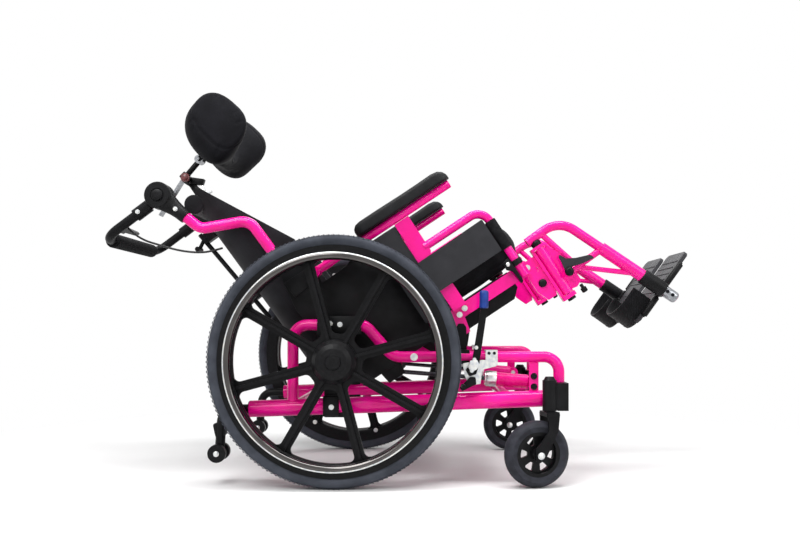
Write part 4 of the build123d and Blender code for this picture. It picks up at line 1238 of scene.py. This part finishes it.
# oval sections of a hub's arm: mm up the cane, half width, half thickness, mm outwards
HUB_ARM = (
    (34, 25, 8.5, 8.3), (22, 22, 12, 4), (8, 18.5, 15, 0),
    (-6, 16.6, 16.4, 0), (-25, 16.2, 16.2, 0), (-26.6, 15.2, 15.2, 0),
)


def oval(place, way, wide, thick):
    """Oval section square to a way in the side view: half width in that view, half thickness."""
    over = Vector((way.y, 0, -way.x)).normalized() * (wide / 1000)
    sideways = Vector((0, thick / 1000, 0))
    return [place + over * a + sideways * b for a, b in circle(0, 0, 1, 32)]


# discs of the handle's hubs, and their arms that narrow into sleeves over the canes
hubs = Maker()
hub_disc = [(0, 12.7), (0, 29.5), (1.5, 31), (14.4, 31), (15.8, 29.5), (15.8, 12.7)]
for name, out in SIDES:
    hubs.lathe(side(*HANDLE_PIVOT, out * 190.6), (0, out, 0), hub_disc, 72)
    hubs.rod(side(*HANDLE_PIVOT, out * 171), side(*HANDLE_PIVOT, out * 192), 6)
    rings = []
    for up, wide, thick, outwards in HUB_ARM:
        spot = side(*(CANE_END + CANE_WAY * up), out * (CANE_Y + outwards))
        rings.append(oval(spot, CANE_WAY, wide, thick))
    hubs.rings(rings)
hubs.done("handle_hub_skins", moulded_black, "seat", "hub_plastic", ("handle_hubs",), angle=40)

hub_cap = [(0, 28), (1.6, 27), (1.6, 16), (0.4, 15), (0.4, 13.2), (4.6, 12.6), (6.0, 11), (6.4, 6)]
for name, out in SIDES:
    cap = [(side(*HANDLE_PIVOT, out * 206.3), (0, out, 0), hub_cap, 48)]
    lathed(f"handle_hub_cap_{name}", moulded_black, "seat", "hub_plastic", cap, angle=40)
for name, spot, body in (
    ("hub_sleeve_screws", (-376, 631, 206.6), "seat"),
    ("handle_collar_screws", (-467.6, 626.3, 194.0), "handle"),
):
    places = both_sides(side, spot)
    screws(name, places, body, zinc_plate, sides=18, radius=4.0, height=2.6, washer=5.4)

# black block under the knob and the clamp at the pad
head_block = Maker()
for outline, wide in (
    (((-425, 742), (-412, 755), (-394, 737), (-410, 722)), 40),
    (((-399, 742), (-364, 737), (-369, 722), (-400, 724)), 18),
    (((-407, 724), (-392, 729), (-352, 690), (-362, 676), (-384, 690)), 9),
):
    head_block.plate(side, outline, 0, wide)
head_block.plate(back, ((-96, 500), (-92.1, 500), (-92.1, 566), (-96, 572)), 0, 68)
head_block.rod(side(-405.5, 736, -19), side(-405.5, 736, -30), 9)
head_block.done(
    "headrest_block", moulded_black, "seat", "hub_plastic", ("headrest_mount",), bevel=1.6
)
hinge_plates = Maker()
hinge_plates.plate(side, ((-374, 716), (-366, 720), (-357, 702), (-366, 697)), -12, 3)
hinge_plates.plate(side, ((-366, 700), (-346, 712), (-341, 703), (-361, 690)), -12, 3)
hinge_plates.done("headrest_hinge_plates", zinc_plate, "seat", "zinc_plate", bevel=0.6)
rod_sleeve = Maker()
rod_sleeve.rod(side(-411, 747, 0), side(-383, 780, 0), 7, 28, chamfer=1)
rod_sleeve.done("headrest_rod_sleeve", moulded_black, "headrest_bar", "hub_plastic", angle=45)

# rolled upper edge of the back
roll = Maker()
roll_line = ((-346, 648, -163), (-348, 651, -120), (-350, 653, 0), (-348, 651, 120), (-346, 648, 163))
roll.hose([side(x, z, y) for x, z, y in roll_line], 23, 32, 6)
roll.done("back_top_roll", charcoal_knit, "seat", "black_cover", bevel=9, angle=70, round_off=4)

# knob of the headrest's clamp, and the screws of the clamps on the accessory bar
knob = [(0, 11.5), (4, 11.5), (5, 10.5), (5, 7.5), (8, 7), (9.4, 5), (9.8, 2)]
turnings = [(side(-405.5, 736, -29.6), (0, -1, 0), knob, 32)]
lathed("headrest_knob", knob_phenolic, "seat", None, turnings, angle=45)
screws(
    "accessory_clamp_screws", [(back(-118, q + 12, -130.2), (0, -1, 0)) for q in (300, 480)],
    "seat", black_steel, radius=3.6, height=3.0, washer=5.0,
)


# ---- floor, light and backdrop ----
FLOOR_FADE = (0.75, 1.5)


def seen_ray(tree):
    """1 on rays that show the background itself: from the camera, a mirror or glass."""
    ray = add(tree, "ShaderNodeLightPath")
    seen = ray.outputs["Is Camera Ray"]
    for words in ("Is Glossy Ray", "Is Transmission Ray"):
        links = [(0, seen), (1, ray.outputs[words])]
        seen = add(tree, "ShaderNodeMath", links, operation="MAXIMUM").outputs["Value"]
    return seen


def mixed(tree, share, first, second):
    """Output of a shader between two others."""
    links = [("Fac", share), (1, first), (2, second)]
    return add(tree, "ShaderNodeMixShader", links).outputs["Shader"]


def studio_floor_paint():
    """Pale plain floor near the chair, which turns into the white background further out."""
    material = make_finish(
        "pale_studio_floor", "#DEDEDE", "#E4E4E4", 400, (0.85, 0.95), 40, 0.0, glint=0.05
    )
    tree = material.node_tree
    place = add(tree, "ShaderNodeTexCoord").outputs["Object"]
    away = add(tree, "ShaderNodeVectorMath", [("Vector", place)], operation="LENGTH")
    far = add(tree, "ShaderNodeMapRange", [("Value", away.outputs["Value"])])
    far.interpolation_type = "SMOOTHSTEP"
    far.inputs["From Min"].default_value, far.inputs["From Max"].default_value = FLOOR_FADE
    factors = [(0, far.outputs["Result"]), (1, seen_ray(tree))]
    share = add(tree, "ShaderNodeMath", factors, operation="MULTIPLY").outputs["Value"]
    glow = add(tree, "ShaderNodeEmission", strength=1.0).outputs["Emission"]
    both = mixed(tree, share, tree.nodes["Principled BSDF"].outputs["BSDF"], glow)
    tree.links.new(both, tree.nodes["Material Output"].inputs["Surface"])
    return material


bpy.ops.mesh.primitive_plane_add(size=14, location=(0, 0, 0))
floor = bpy.context.object
floor.name = "studio_floor"
floor.data.materials.append(studio_floor_paint())


def lamp(name, place, aim, size, watts, narrow=None):
    """Soft light, square or so narrow, from front to back."""
    data = bpy.data.lights.new(name, "AREA")
    data.shape = "RECTANGLE"
    data.size, data.size_y = size, narrow or size
    data.energy = watts
    light = new_object(name, data)
    light.location = place
    light.rotation_euler = (Vector(aim) - Vector(place)).to_track_quat("-Z", "Y").to_euler()


lamp("key_light", (-1.2, -2.6, 2.8), (0, 0, 0.4), 1.6, 62)
lamp("fill_light", (2.6, -2.2, 1.8), (0, 0, 0.4), 1.8, 32)
lamp("strip_light", (0.1, -0.7, 2.6), (0, 0, 0.3), 3.0, 75, 0.6)
lamp("back_light", (0, 2.2, 2.6), (0, 0, 0.3), 2.0, 30)

world = bpy.data.worlds.new("studio")
bpy.context.scene.world = world
world.use_nodes = True
tree = world.node_tree
tree.nodes.clear()
ambient = add(tree, "ShaderNodeBackground", color=linear("#FFFFFF"), strength=0.5)
shown = add(tree, "ShaderNodeBackground", color=linear("#FFFFFF"), strength=1.0)
backdrop = mixed(tree, seen_ray(tree), ambient.outputs[0], shown.outputs[0])
add(tree, "ShaderNodeOutputWorld", [("Surface", backdrop)])
bpy.context.scene.view_settings.view_transform = "Standard"
